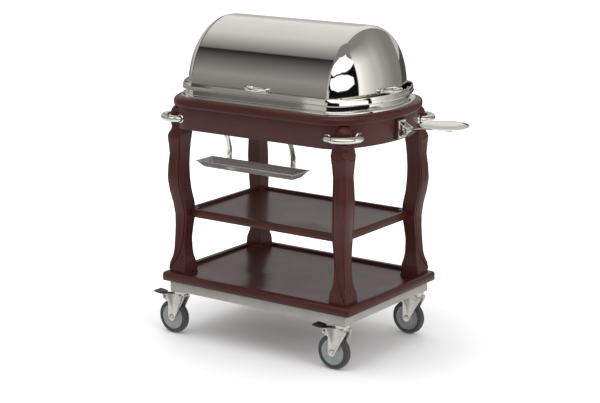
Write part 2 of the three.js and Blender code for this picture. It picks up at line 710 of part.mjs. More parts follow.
// ---- Well frame: stepped flange, channel and rim ----
const frameBottom = DECK_TOP + GAP;
const wellFrame = cut(
  stacked(WELL, [
    [0, frameBottom], [0, DECK_TOP + FLANGE_LIP], [FRAME_STEP_INSET - 4, DECK_TOP + FLANGE_LIP + 4],
    [FRAME_STEP_INSET, DECK_TOP + FLANGE_LIP + 6], [FRAME_STEP_INSET, LEDGE_Z - 5],
    [FRAME_RIM_INSET, LEDGE_Z - 2], [FRAME_RIM_INSET, RIM_TOP - 2], [FRAME_RIM_INSET + 1, RIM_TOP],
  ]),
  stacked(WELL, [[FRAME_STEP_INSET + FRAME_WALL, DECK_TOP - OVERCUT],
    [FRAME_STEP_INSET + FRAME_WALL, LEDGE_Z - FRAME_WALL]]),
  stacked(WELL, [[LEDGE_INSET, LEDGE_Z - 2 * FRAME_WALL], [LEDGE_INSET, LEDGE_Z + OVERCUT]]),
  stacked(WELL, [[FRAME_RIM_INSET + FRAME_WALL + 1, LEDGE_Z],
    [FRAME_RIM_INSET + FRAME_WALL + 1, RIM_TOP + OVERCUT]]),
);
addPiece('well_frame', wellFrame, polished);

// ---- Water pan hung in the deck, cover plate, board and gravy pans ----
const panTop = frameBottom + PAN_SHEET;
const panInset = WELL_OPENING + 2;
const panFlangeInset = FRAME_STEP_INSET + FRAME_WALL + 2;
const waterPan = cut(
  join(
    stacked(WELL, [[panInset, PAN_BOTTOM], [panInset, panTop]]),
    stacked(WELL, [[panFlangeInset, frameBottom], [panFlangeInset, panTop]]),
  ),
  stacked(WELL, [[panInset + PAN_SHEET, PAN_BOTTOM + PAN_SHEET], [panInset + PAN_SHEET, panTop + OVERCUT]]),
);
addPiece('water_pan', waterPan, satin);

const coverInset = LEDGE_INSET - COVER_OVERLAP;
const gravyHole = (sy) =>
  trayed(GRAVY_HALF_X + 1, GRAVY_HALF_Y + 1, GRAVY_CORNER,
    [[0, COVER_Z - OVERCUT], [0, COVER_TOP + OVERCUT]]).translate(GRAVY_X, sy * GRAVY_Y, 0);
const spigotX = BOARD_HALF_X - BOARD_LAP;
const spigotY = BOARD_HALF_Y - BOARD_LAP;
const coverPlate = cut(
  stacked(WELL, [[coverInset, COVER_Z], [coverInset, COVER_TOP]]),
  box(BOARD_X - spigotX, BOARD_X + spigotX, -spigotY, spigotY, COVER_Z - OVERCUT, COVER_TOP + OVERCUT),
  gravyHole(-1),
  gravyHole(1),
);
addPiece('cover_plate', coverPlate, satin);

const boardBottom = COVER_TOP + GAP;
const boardTop = boardBottom + BOARD_THICK;
const grooveOuterX = BOARD_HALF_X - GROOVE_INSET;
const grooveOuterY = BOARD_HALF_Y - GROOVE_INSET;
const grooveFloor = boardTop - GROOVE_DEPTH;
const groove = cut(
  trayed(grooveOuterX, grooveOuterY, 12, [[0, grooveFloor], [0, boardTop + OVERCUT]]),
  trayed(grooveOuterX - GROOVE_WIDTH, grooveOuterY - GROOVE_WIDTH, 6,
    [[0, grooveFloor - OVERCUT], [0, boardTop + 2 * OVERCUT]]),
);
const board = cut(
  join(
    trayed(BOARD_HALF_X, BOARD_HALF_Y, 14, [[2, boardBottom], [0, boardBottom + 2], [0, boardTop - 2],
      [2, boardTop]]),
    centredBox(spigotX - 1, spigotY - 1, COVER_Z + 1, boardBottom + 3),
  ),
  groove,
).translate(BOARD_X, 0, 0);
addPiece('carving_board', board, boardWood);

function gravyPan() {
  const bottom = boardBottom - GRAVY_DEPTH;
  return cut(
    join(
      trayed(GRAVY_HALF_X, GRAVY_HALF_Y, GRAVY_CORNER, [[2, bottom], [0, bottom + 4],
        [0, boardBottom + PAN_SHEET]]),
      trayed(GRAVY_HALF_X + GRAVY_FLANGE, GRAVY_HALF_Y + GRAVY_FLANGE, GRAVY_CORNER,
        [[0, boardBottom], [0, boardBottom + PAN_SHEET]]),
    ),
    trayed(GRAVY_HALF_X, GRAVY_HALF_Y, GRAVY_CORNER, [[3, bottom + PAN_SHEET], [PAN_SHEET, bottom + 5],
      [PAN_SHEET, boardBottom + OVERCUT]]),
  );
}
for (const [tag, sy] of [['front', -1], ['rear', 1]]) {
  addPiece(`gravy_pan_${tag}`, gravyPan().translate(GRAVY_X, sy * GRAVY_Y, 0), satin);
}

// ---- Dome ----
const domeFoot = LEDGE_Z + GAP;

/** Points [x, radius] of one end of the dome, drawn in by the sheet: shoulder, then dished end. */
function domeEnd(sheet) {
  const shoulder = DOME_SHOULDER_R - sheet;
  const tilt = (DOME_APEX - DOME_BARREL - DOME_SHOULDER_R) / (DOME_R - DOME_SHOULDER_R);
  const turn = Math.PI / 2 - 2 * Math.atan(tilt);
  const dishR = (DOME_R - DOME_SHOULDER_R) / Math.cos(turn) + shoulder;
  const dishX = DOME_APEX - sheet - dishR;
  const arc = (centreX, centreR, radius, from, to, steps) =>
    Array.from({ length: steps + 1 }, (_, i) => {
      const a = from + ((to - from) * i) / steps;
      return [centreX + radius * Math.sin(a), centreR + radius * Math.cos(a)];
    });
  return [
    ...arc(DOME_BARREL, DOME_R - DOME_SHOULDER_R, shoulder, 0, turn, DOME_SHOULDER_STEPS),
    ...arc(dishX, 0, dishR, turn, Math.PI / 2, DOME_CAP_STEPS).slice(1),
  ];
}

/** The solid half barrel inside one skin of the dome, with straight sides down to its foot. */
function domeSkin(sheet, foot) {
  const right = domeEnd(sheet);
  const profile = [...right.map(([x, r]) => [-x, r]).reverse(), ...right];
  const rings = profile.map(([x, radius]) => {
    const r = Math.max(radius, 0);
    const arc = Array.from({ length: DOME_ARC_STEPS + 1 }, (_, i) => {
      const a = (Math.PI * i) / DOME_ARC_STEPS;
      return new THREE.Vector2(r * Math.cos(a), DOME_AXIS_Z + r * Math.sin(a));
    });
    return { points: [...arc, new THREE.Vector2(-r, foot), new THREE.Vector2(r, foot)], z: x };
  });
  return loft(rings)
    .applyMatrix4(new THREE.Matrix4().makeBasis(point(0, 1, 0), point(0, 0, 1), point(1, 0, 0)));
}
addPiece('dome', cut(domeSkin(0, domeFoot), domeSkin(DOME_SHEET, domeFoot - OVERCUT)), polished);

// ---- Dome handles: bows on round bosses ----
/** A bow handle at the origin, standing out along +Y, its bosses starting at a distance from Y = 0. */
function bowHandle(start, reach) {
  const h = HANDLE_HALF;
  const out = start + reach;
  const path = [point(-h, start + 2, 0), point(-h, start + 8, 0), point(-h * 0.82, out - 7, 0),
    point(-h * 0.4, out, 0), point(h * 0.4, out, 0), point(h * 0.82, out - 7, 0),
    point(h, start + 8, 0), point(h, start + 2, 0)];
  const boss = (x) => rod(HANDLE_BOSS_R, point(x, start, 0), point(x, start + 4, 0), 10);
  return join(tube(path, HANDLE_R, 14), boss(-h), boss(h));
}
const handleDrop = HANDLE_Z - DOME_AXIS_Z;
const barrelFace = Math.sqrt(DOME_R ** 2 - (handleDrop - HANDLE_BOSS_R) ** 2) + GAP;
const dish = domeEnd(0);
const [nextX, nextR] = dish.at(-2);
const dishRadius = (DOME_APEX - nextX) / 2 + nextR ** 2 / (2 * (DOME_APEX - nextX));
const bossR2 = (HANDLE_HALF - HANDLE_BOSS_R) ** 2 + (handleDrop - HANDLE_BOSS_R) ** 2;
const dishFace = DOME_APEX - dishRadius + Math.sqrt(dishRadius ** 2 - bossR2) + GAP;
const frontHandle = bowHandle(barrelFace, HANDLE_REACH).rotateZ(Math.PI).translate(0, 0, HANDLE_Z);
addPiece('dome_handle_front', frontHandle, polished);
for (const [tag, turn] of [['right', -Math.PI / 2], ['left', Math.PI / 2]]) {
  const handle = bowHandle(dishFace, END_HANDLE_REACH).rotateZ(turn).translate(0, 0, HANDLE_Z);
  addPiece(`dome_handle_${tag}`, handle, polished);
}

// ---- Dome hinges at the rear: bracket with its pin on the frame, leaf on the dome ----
const bracketY = WELL.depth - FRAME_RIM_INSET + GAP;
const alongX = (x0, x1, r, sides = 12) =>
  rod(r, point(x0, HINGE_Y, HINGE_Z), point(x1, HINGE_Y, HINGE_Z), sides);
function hingeBracket() {
  const plate = box(-HINGE_HALF, HINGE_HALF, bracketY, bracketY + LEAF_SHEET, DECK_TOP + 14, HINGE_Z);
  const clear = HINGE_MIDDLE + GAP;
  const notch = HINGE_Z - HINGE_BARREL_R - 2 * GAP;
  const middle = box(-clear, clear, bracketY - OVERCUT, bracketY + OVERCUT, notch, HINGE_Z + OVERCUT);
  return join(cut(plate, middle), alongX(-HINGE_HALF, -clear, HINGE_BARREL_R),
    alongX(clear, HINGE_HALF, HINGE_BARREL_R), alongX(-HINGE_HALF - 1, HINGE_HALF + 1, HINGE_PIN_R));
}
function domeLeaf() {
  const tilt = THREE.MathUtils.degToRad(7);
  const onDome = (radius, s) => [
    radius * Math.cos(tilt) - s * Math.sin(tilt),
    DOME_AXIS_Z + radius * Math.sin(tilt) + s * Math.cos(tilt),
  ];
  const inner = DOME_R + GAP;
  const outer = inner + LEAF_SHEET;
  const pad = [onDome(inner, -12), onDome(outer, -12), onDome(outer, 24), onDome(inner, 24)];
  const web = [onDome(outer - 1, -10), [HINGE_Y - 3, HINGE_Z - 3], [HINGE_Y, HINGE_Z],
    [HINGE_Y - 2, HINGE_Z + 5], onDome(outer - 1, 4)];
  return cut(
    join(alongPlate(pad, -HINGE_HALF, HINGE_HALF), alongPlate(web, -HINGE_MIDDLE, HINGE_MIDDLE),
      alongX(-HINGE_MIDDLE, HINGE_MIDDLE, HINGE_BARREL_R)),
    alongX(-HINGE_HALF, HINGE_HALF, HINGE_PIN_R + PIN_PLAY),
  );
}
for (const [tag, sx] of [['left', -1], ['right', 1]]) {
  addPiece(`hinge_bracket_${tag}`, hingeBracket().translate(sx * HINGE_X, 0, 0), polished);
  addPiece(`hinge_leaf_${tag}`, domeLeaf().translate(sx * HINGE_X, 0, 0), polished);
}

// ---- Drop tray on two straps screwed inside the front apron ----
const trayFloor = TRAY_RIM_Z - TRAY_DEPTH;
const tray = cut(
  trayed(TRAY_HALF_X, TRAY_HALF_Y, 6, [[TRAY_FLARE + TRAY_LIP, trayFloor], [TRAY_LIP, TRAY_RIM_Z - 2],
    [0, TRAY_RIM_Z - 1.5], [0, TRAY_RIM_Z]]),
  trayed(TRAY_HALF_X - TRAY_SHEET, TRAY_HALF_Y - TRAY_SHEET, 6,
    [[TRAY_FLARE + TRAY_LIP, trayFloor + TRAY_SHEET], [TRAY_LIP, TRAY_RIM_Z - 0.5],
      [TRAY_LIP, TRAY_RIM_Z + OVERCUT]]),
).translate(0, TRAY_Y, 0);
addPiece('drop_tray', tray, polished);

function strapBody() {
  const half = STRAP_SHEET / 2;
  const apronFace = -(DECK.depth - APRON_INSET - APRON_WALL) + GAP + half;
  const behindTray = TRAY_Y + TRAY_HALF_Y + GAP + half;
  const under = trayFloor - GAP - half;
  const fall = APRON_BOTTOM - TRAY_RIM_Z;
  const path = [
    [apronFace, APRON_BOTTOM + STRAP_SCREWED], [apronFace, APRON_BOTTOM + STRAP_JOG],
    [apronFace + STRAP_JOG, APRON_BOTTOM], [behindTray - 7, APRON_BOTTOM - fall * 0.3],
    [behindTray + 1, APRON_BOTTOM - fall * 0.6], [behindTray + 1, TRAY_RIM_Z + 18],
    [behindTray, TRAY_RIM_Z + 8],
    [behindTray, under + 4], [behindTray - 4, under], [TRAY_Y, under],
  ];
  const rivet = rod(6, point(0, TRAY_Y + 6, under), point(0, TRAY_Y + 6, under - 4), 10);
  return join(alongPlate(strip(path, STRAP_SHEET), -STRAP_HALF_WIDTH, STRAP_HALF_WIDTH), rivet);
}
for (const [tag, sx] of [['left', -1], ['right', 1]]) {
  addPiece(`tray_strap_${tag}`, strapBody().translate(sx * STRAP_X, 0, 0), polished);
}

// ---- Plate holder on the right end ----
const apronEnd = DECK.length - APRON_INSET;
const blockFace = apronEnd + BLOCK_DEPTH;
const apronSkin = stacked(DECK, [[APRON_INSET - GAP, APRON_BOTTOM], [APRON_INSET - GAP, APRON_TOP]]);
const block = cut(
  box(apronEnd - 8, blockFace, -BLOCK_HALF_Y, BLOCK_HALF_Y,
    HOLDER_Z - BLOCK_HALF_Z, HOLDER_Z + BLOCK_HALF_Z),
  apronSkin,
);
addPiece('plate_holder_block', block, wood);

const bracketBack = blockFace + GAP;
const pinX = bracketBack + HOLDER_EAR + HOLDER_PIN_OUT;
const earOuter = HOLDER_EAR_GAP + HOLDER_EAR;
function holderBracket() {
  const halfY = PLATE_HALF_Y;
  const halfZ = PLATE_HALF_Z;
  const face = bracketBack + HOLDER_EAR;
  const plate = box(bracketBack, face, -halfY, halfY, HOLDER_Z - halfZ, HOLDER_Z + halfZ);
  const ear = [[bracketBack + 1, HOLDER_Z - halfZ], [pinX, HOLDER_Z - 8], [pinX + 6, HOLDER_Z - 5],
    [pinX + 6, HOLDER_Z + 5], [pinX, HOLDER_Z + 8], [bracketBack + 1, HOLDER_Z + halfZ - 6]];
  const screws = [-1, 1].flatMap((sy) => [-1, 1].map((sz) => {
    const at = (x) => point(x, sy * (halfY - 5), HOLDER_Z + sz * (halfZ - 5));
    return rod(3.5, at(face - 1), at(face + 2), 8);
  }));
  return cut(
    join(plate, acrossPlate(ear, HOLDER_EAR_GAP, earOuter), acrossPlate(ear, -earOuter, -HOLDER_EAR_GAP),
      ...screws),
    bolt(HOLDER_PIN_R + PIN_PLAY, pinX, HOLDER_Z, earOuter + OVERCUT),
  );
}
addPiece('plate_holder_bracket', holderBracket(), polished);

const pinHead = 6;
const holderPin = wheelTurned([
  [0, -earOuter - 3], [pinHead, -earOuter - 3], [pinHead, -earOuter - GAP],
  [HOLDER_PIN_R, -earOuter - GAP], [HOLDER_PIN_R, earOuter + GAP], [pinHead, earOuter + GAP],
  [pinHead, earOuter + 3], [0, earOuter + 3],
], 12).translate(pinX, 0, HOLDER_Z);
addPiece('plate_holder_pin', holderPin, polished);

function holderArm() {
  const seat = DISH_Z - GAP - ARM_SHEET / 2;
  const path = [[pinX, HOLDER_Z], [pinX + 16, HOLDER_Z + 3], [DISH_X - DISH_FLAT_R - 12, seat - 3],
    [DISH_X - DISH_FLAT_R + 4, seat], [DISH_X + DISH_FLAT_R / 2, seat]];
  const knuckle = bolt(8, pinX, HOLDER_Z, HOLDER_EAR_GAP - GAP);
  return cut(
    join(knuckle, acrossPlate(strip(path, ARM_SHEET), -ARM_HALF_WIDTH, ARM_HALF_WIDTH)),
    bolt(HOLDER_PIN_R + PIN_PLAY, pinX, HOLDER_Z, HOLDER_EAR_GAP + OVERCUT),
  );
}
addPiece('plate_holder_arm', holderArm(), polished);

const dishRim = DISH_Z + DISH_DEPTH;
const dishBody = turned([
  [0, DISH_Z], [DISH_FLAT_R, DISH_Z], [DISH_R - 7, dishRim - 5], [DISH_R, dishRim - DISH_SHEET],
  [DISH_R, dishRim], [DISH_R - 8, dishRim - 5 + DISH_SHEET], [DISH_FLAT_R - 1, DISH_Z + DISH_SHEET],
  [0, DISH_Z + DISH_SHEET],
], 32).translate(DISH_X, 0, 0);
addPiece('plate_dish', dishBody, polished);

// ---- Centred on the footprint ----
const footprint = new THREE.Box3().setFromObject(trolley, true).getCenter(new THREE.Vector3());
trolley.position.set(-footprint.x, -footprint.y, 0);

export default trolley;
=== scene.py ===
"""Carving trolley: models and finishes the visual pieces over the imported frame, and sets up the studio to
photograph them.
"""
import logging
import math
from contextlib import contextmanager
from dataclasses import dataclass
from enum import Enum
from typing import ClassVar, Iterator, Sequence

import bmesh
import bpy
from mathutils import Matrix, Vector


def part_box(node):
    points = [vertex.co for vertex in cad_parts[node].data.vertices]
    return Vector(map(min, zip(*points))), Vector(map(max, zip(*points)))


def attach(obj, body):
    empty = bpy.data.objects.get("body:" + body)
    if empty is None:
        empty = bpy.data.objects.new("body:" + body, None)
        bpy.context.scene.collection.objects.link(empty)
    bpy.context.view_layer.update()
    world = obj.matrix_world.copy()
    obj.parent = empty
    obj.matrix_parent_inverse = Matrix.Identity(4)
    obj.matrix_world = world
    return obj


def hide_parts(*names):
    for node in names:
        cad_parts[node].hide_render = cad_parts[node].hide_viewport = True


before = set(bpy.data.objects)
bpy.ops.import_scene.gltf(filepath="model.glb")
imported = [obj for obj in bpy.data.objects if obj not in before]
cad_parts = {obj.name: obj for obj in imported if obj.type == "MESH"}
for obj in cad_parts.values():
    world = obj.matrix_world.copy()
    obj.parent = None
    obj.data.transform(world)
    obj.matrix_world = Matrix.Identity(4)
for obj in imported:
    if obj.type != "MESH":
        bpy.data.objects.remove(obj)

LOG = logging.getLogger("carving_trolley")
MM = 0.001
DECK_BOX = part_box("deck_slab")
DECK_MIDDLE = Vector(((DECK_BOX[0][0] + DECK_BOX[1][0]) / 2, (DECK_BOX[0][1] + DECK_BOX[1][1]) / 2, 0.0)) / MM
MERGE_DISTANCE = 2e-5
SMOOTH_ANGLE = math.radians(32)
FLAT_ANGLE = math.radians(0.5)
HALF_PI = math.pi / 2
SIDEWAYS = (0, 1, 0)
UPWARDS = (0, 0, 1)

Point = Sequence[float]
Ring = list[Point]
Profile = Sequence[tuple[float, float]]
Span = tuple[float, float]
Solid = bpy.types.Object
Socket = bpy.types.NodeSocket
Material = bpy.types.Material


class Corner(Enum):
    """One of the trolley's four corners, with the signs of its X and Y."""

    FRONT_LEFT = ("front_left", -1, -1)
    FRONT_RIGHT = ("front_right", 1, -1)
    REAR_LEFT = ("rear_left", -1, 1)
    REAR_RIGHT = ("rear_right", 1, 1)

    @property
    def tag(self) -> str:
        """The corner's part of a node's name."""
        return self.value[0]

    @property
    def signs(self) -> tuple[int, int]:
        """The signs of the corner's X and Y."""
        return self.value[1], self.value[2]


class Grain(Enum):
    """The way the wood's grain runs, as the scale of its figure along X, Y and Z."""

    LENGTHWISE = (0.05, 1.0, 1.0)
    UPRIGHT = (1.0, 1.0, 0.05)


# ---- Mesh tools ----
def at(x: float, y: float, z: float) -> Vector:
    """Turns millimetres from the deck's middle into metres in the row frame.

    Args:
        x, y, z: the point, in millimetres.

    Returns:
        The same point in the row frame, in metres.
    """
    return (Vector((x, y, z)) + DECK_MIDDLE) * MM


def pick(*objects: Solid) -> None:
    """Makes these objects the only selected ones, and the first of them active.

    Args:
        objects: the objects; with none, nothing stays selected.
    """
    bpy.ops.object.select_all(action="DESELECT")
    for obj in objects:
        obj.select_set(True)
    if objects:
        bpy.context.view_layer.objects.active = objects[0]


def linked(name: str, data: bpy.types.ID) -> Solid:
    """Makes an object of some data and links it to the scene.

    Args:
        name: the name of both.
        data: the mesh, curve, light or camera.

    Returns:
        The new object.
    """
    data.name = name
    obj = bpy.data.objects.new(name, data)
    bpy.context.scene.collection.objects.link(obj)
    return obj


def labelled(name: str) -> Solid:
    """Names the active object and its mesh.

    Args:
        name: the name of both.

    Returns:
        The active object.
    """
    obj = bpy.context.object
    obj.name = obj.data.name = name
    return obj


@contextmanager
def editing(obj: Solid, everything: bool = False) -> Iterator[None]:
    """Opens a mesh in edit mode by its points, and closes it afterwards.

    Args:
        obj: the mesh object.
        everything: whether all its points start selected, in place of none.

    Returns:
        The span of work in which the mesh is open.
    """
    pick(obj)
    bpy.ops.object.mode_set(mode="EDIT")
    bpy.ops.mesh.select_mode(type="VERT")
    bpy.ops.mesh.select_all(action="SELECT" if everything else "DESELECT")
    yield
    bpy.ops.object.mode_set(mode="OBJECT")


@contextmanager
def points(obj: Solid) -> Iterator[bmesh.types.BMesh]:
    """Hands out the mesh that is being edited, and writes it back afterwards."""
    yield bmesh.from_edit_mesh(obj.data)
    bmesh.update_edit_mesh(obj.data)


def settle(obj: Solid, angle: float = SMOOTH_ANGLE) -> Solid:
    """Merges doubled points, turns the faces outwards and shades the round ones smooth.

    Args:
        obj: the mesh object.
        angle: the sharpness from which an edge stays hard, in radians.

    Returns:
        The same object.
    """
    with editing(obj, everything=True):
        bpy.ops.mesh.remove_doubles(threshold=MERGE_DISTANCE)
        bpy.ops.mesh.normals_make_consistent(inside=False)
    bpy.ops.object.shade_smooth_by_angle(angle=angle)
    return obj


def apply_modifier(obj: Solid, kind: str, **values: object) -> Solid:
    """Adds a modifier, sets its values and applies it.

    Args:
        obj: the mesh object.
        kind: the modifier's type.
        values: its settings by name.

    Returns:
        The same object.
    """
    pick(obj)
    modifier = obj.modifiers.new(kind.title(), kind)
    for key, value in values.items():
        setattr(modifier, key, value)
    bpy.ops.object.modifier_apply(modifier=modifier.name)
    return obj


def loft(name: str, rings: Sequence[Ring], closed: bool = False) -> Solid:
    """Raises a skin ring by ring from a circle, and caps both its ends.

    Args:
        name: the object's name.
        rings: points in millimetres from the deck's middle, as many in each ring.
        closed: whether the last ring is joined to the first, in place of the caps.

    Returns:
        The finished mesh object.
    """
    pick()
    bpy.ops.mesh.primitive_circle_add(vertices=len(rings[0]), fill_type="NOTHING")
    obj = labelled(name)
    with editing(obj, everything=True):
        with points(obj) as mesh:
            for vertex, place in zip(mesh.verts, rings[0]):
                vertex.co = at(*place)
            turn = {tuple(vertex.co): i for i, vertex in enumerate(mesh.verts)}
        for ring in [*rings[1:], rings[0]] if closed else rings[1:]:
            bpy.ops.mesh.extrude_region_move()
            with points(obj) as mesh:
                raised = [(vertex, turn[tuple(vertex.co)]) for vertex in mesh.verts if vertex.select]
                for vertex, i in raised:
                    vertex.co = at(*ring[i])
                turn = {tuple(vertex.co): i for vertex, i in raised}
        if not closed:
            bpy.ops.mesh.edge_face_add()
            bpy.ops.mesh.select_all(action="DESELECT")
            with points(obj) as mesh:
                for vertex in list(mesh.verts)[: len(rings[0])]:
                    vertex.select = True
                mesh.select_flush(True)
            bpy.ops.mesh.edge_face_add()
    return settle(obj)


def draped(name: str, rows: Sequence[Ring]) -> Solid:
    """Places a grid's points row by row.

    Args:
        name: the object's name.
        rows: points in millimetres from the deck's middle, as many in each row.

    Returns:
        An open sheet.
    """
    pick()
    across = len(rows[0])
    bpy.ops.mesh.primitive_grid_add(x_subdivisions=across - 1, y_subdivisions=len(rows) - 1)
    obj = labelled(name)
    with editing(obj), points(obj) as mesh:
        for i, vertex in enumerate(mesh.verts):
            vertex.co = at(*rows[i // across][i % across])
    return settle(obj)


def turned(name: str, profile: Profile, centre: Point, axis: Point, steps: int) -> Solid:
    """Spins a profile round an axis.

    Args:
        name: the object's name.
        profile: pairs of radius and height along the axis, in millimetres.
        centre: where height 0 of the axis lies, in millimetres from the deck's middle.
        axis: the direction of the axis.
        steps: how many faces go round.

    Returns:
        The finished mesh object.
    """
    along = Vector(axis).normalized()
    out = along.orthogonal().normalized()
    middle = Vector(centre)
    places = [at(*(middle + out * radius + along * height)) for radius, height in profile]
    pick()
    bpy.ops.mesh.primitive_plane_add(size=1)
    obj = labelled(name)
    with editing(obj, everything=True):
        bpy.ops.mesh.merge(type="CENTER")
        with points(obj) as mesh:
            next(iter(mesh.verts)).co = places[0]
        for before, after in zip(places, places[1:]):
            bpy.ops.mesh.extrude_region_move(TRANSFORM_OT_translate={"value": after - before})
        bpy.ops.mesh.select_all(action="SELECT")
        bpy.ops.mesh.spin(steps=steps, angle=2 * math.pi, center=at(*middle), axis=along)
    return settle(obj)


def smooth_path(points: Sequence[Point], per_span: int = 8) -> list[Vector]:
    """Draws a centripetal curve through a few points.

    Args:
        points: the places it passes, in millimetres from the deck's middle.
        per_span: how many steps it takes between two of them.

    Returns:
        The points of the curve.
    """
    knots = [Vector(p) for p in points]
    knots = [2 * knots[0] - knots[1], *knots, 2 * knots[-1] - knots[-2]]
    path: list[Vector] = []
    for p0, p1, p2, p3 in zip(knots, knots[1:], knots[2:], knots[3:]):
        t1 = max((p1 - p0).length, 1e-6) ** 0.5
        t2 = t1 + max((p2 - p1).length, 1e-6) ** 0.5
        t3 = t2 + max((p3 - p2).length, 1e-6) ** 0.5
        for step in range(per_span):
            t = t1 + (t2 - t1) * step / per_span
            a1 = p0.lerp(p1, t / t1)
            a2 = p1.lerp(p2, (t - t1) / (t2 - t1))
            a3 = p2.lerp(p3, (t - t2) / (t3 - t2))
            b1 = a1.lerp(a2, t / t2)
            b2 = a2.lerp(a3, (t - t1) / (t3 - t1))
            path.append(b1.lerp(b2, (t - t1) / (t2 - t1)))
    return [*path, knots[-2]]


def tube(name: str, path: Sequence[Point], radius: float, sides: int = 6) -> Solid:
    """Sweeps a round section along a path.

    Args:
        name: the object's name.
        path: its points, in millimetres from the deck's middle.
        radius: the section's radius, in millimetres.
        sides: a quarter of how many faces go round.

    Returns:
        The finished mesh object.
    """
    curve = bpy.data.curves.new(name, "CURVE")
    curve.dimensions = "3D"
    curve.bevel_depth = radius * MM
    curve.bevel_resolution = sides
    curve.use_fill_caps = True
    spline = curve.splines.new("POLY")
    spline.points.add(len(path) - 1)
    for knot, place in zip(spline.points, path):
        knot.co = (*at(*place), 1.0)
    pick(linked(name, curve))
    bpy.ops.object.convert(target="MESH")
    return settle(bpy.context.object)


def joined(name: str, *parts: Solid) -> Solid:
    """Makes several meshes one object.

    Args:
        name: its name.
        parts: the meshes that go into it.

    Returns:
        The one object.
    """
    pick(*parts)
    bpy.ops.object.join()
    return labelled(name)


def copied(name: str, obj: Solid, turn: Matrix) -> Solid:
    """Copies an object with a mesh of its own, and moves the copy's points.

    Args:
        name: the copy's name.
        obj: the object copied.
        turn: the move, about the deck's middle and in millimetres.

    Returns:
        The copy, at the origin.
    """
    copy = linked(name, obj.data.copy())
    place = Matrix.Translation(DECK_MIDDLE * MM)
    size = Matrix.Scale(MM, 4)
    copy.data.transform(place @ size @ turn @ size.inverted() @ place.inverted())
    return settle(copy)


# ---- Outlines and profiles, in millimetres ----
def arc(x: float, y: float, radius: float, start: float, end: float, steps: int) -> Profile:
    """Lists the points of an arc, with both its ends.

    Args:
        x, y: the arc's centre.
        radius: its radius.
        start, end: the angles of its ends, in radians.
        steps: how many steps it takes.

    Returns:
        Pairs of places.
    """
    turns = [start + (end - start) * i / steps for i in range(steps + 1)]
    return [(x + radius * math.cos(turn), y + radius * math.sin(turn)) for turn in turns]


class Outline:
    """A closed outline that is drawn in by an inset and lofted."""

    def ring(self, inset: float, z: float) -> Ring:
        """Draws the outline, drawn in by an inset, at a height."""
        raise NotImplementedError

    def loft(self, name: str, profile: Profile, closed: bool = False) -> Solid:
        """Builds a body of this outline through a profile of insets and heights."""
        return loft(name, [self.ring(inset, z) for inset, z in profile], closed)


@dataclass(frozen=True)
class EndedOutline(Outline):
    """An outline with two flat sides, bowed ends and round corners."""

    length: float
    depth: float
    corner: float
    end: float
    end_steps: int = 12
    corner_steps: int = 16

    def corner_centre(self) -> tuple[float, float, float]:
        """Finds the arc of the corner where X and Y are positive.

        Returns:
            The X and Y of its centre, and the angle where it meets the end's arc.
        """
        y = self.depth - self.corner
        x = self.length - self.end + math.sqrt((self.end - self.corner) ** 2 - y**2)
        return x, y, math.atan2(y, x - (self.length - self.end))

    def ring(self, inset: float, z: float) -> Ring:
        """Draws the outline at a height.

        Args:
            inset: how far the outline is drawn in.
            z: its height.

        Returns:
            The outline's points.
        """
        x, y, angle = self.corner_centre()
        bow = arc(self.length - self.end, 0, self.end - inset, 0, angle, self.end_steps)
        corner = arc(x, y, self.corner - inset, angle, HALF_PI, self.corner_steps)
        return fourfold([*bow[:-1], *corner], z)


@dataclass(frozen=True)
class BoxOutline(Outline):
    """A rectangle with round corners about a middle."""

    half_x: float
    half_y: float
    radius: float
    x: float = 0.0
    y: float = 0.0
    steps: int = 6

    def ring(self, inset: float, z: float) -> Ring:
        """Draws the outline at a height.

        Args:
            inset: how far the outline is drawn in.
            z: its height.

        Returns:
            The outline's points.
        """
        radius = max(self.radius - inset, 0.6)
        across, deep = self.half_x - inset - radius, self.half_y - inset - radius
        quarter = arc(across, deep, radius, 0, HALF_PI, self.steps)
        return [(px + self.x, py + self.y, pz) for px, py, pz in fourfold(quarter, z)]


def fourfold(quarter: Profile, z: float) -> Ring:
    """Mirrors a first-quadrant run of points, from the X axis round to the Y axis, into a ring.

    Args:
        quarter: the points, as pairs of X and Y.
        z: the ring's height.

    Returns:
        The ring's points.
    """
    off_axis = [p for p in quarter if p[1] > 1e-9]
    ring = [
        *quarter,
        *[(-x, y) for x, y in reversed(quarter)],
        *[(-x, -y) for x, y in off_axis],
        *[(x, -y) for x, y in reversed(off_axis)],
    ]
    return [(x, y, z) for x, y in ring]


def quarter_round(radius: float, z: float, up: int, steps: int) -> Profile:
    """Lists a round edge, from the side face to the level face.

    Args:
        radius: the edge's radius.
        z: the level face's height.
        up: 1 where the level face is on top, and -1 where it is below.
        steps: how many steps it takes.

    Returns:
        Pairs of inset and height.
    """
    turns = [HALF_PI * i / steps for i in range(steps + 1)]
    return [(radius * (1 - math.cos(a)), z - up * radius * (1 - math.sin(a))) for a in turns]


def two_sided(side: Profile) -> Profile:
    """Mirrors half a turned profile about its middle, and closes it."""
    return [*side, *[(radius, -height) for radius, height in reversed(side[:-1])], side[0]]


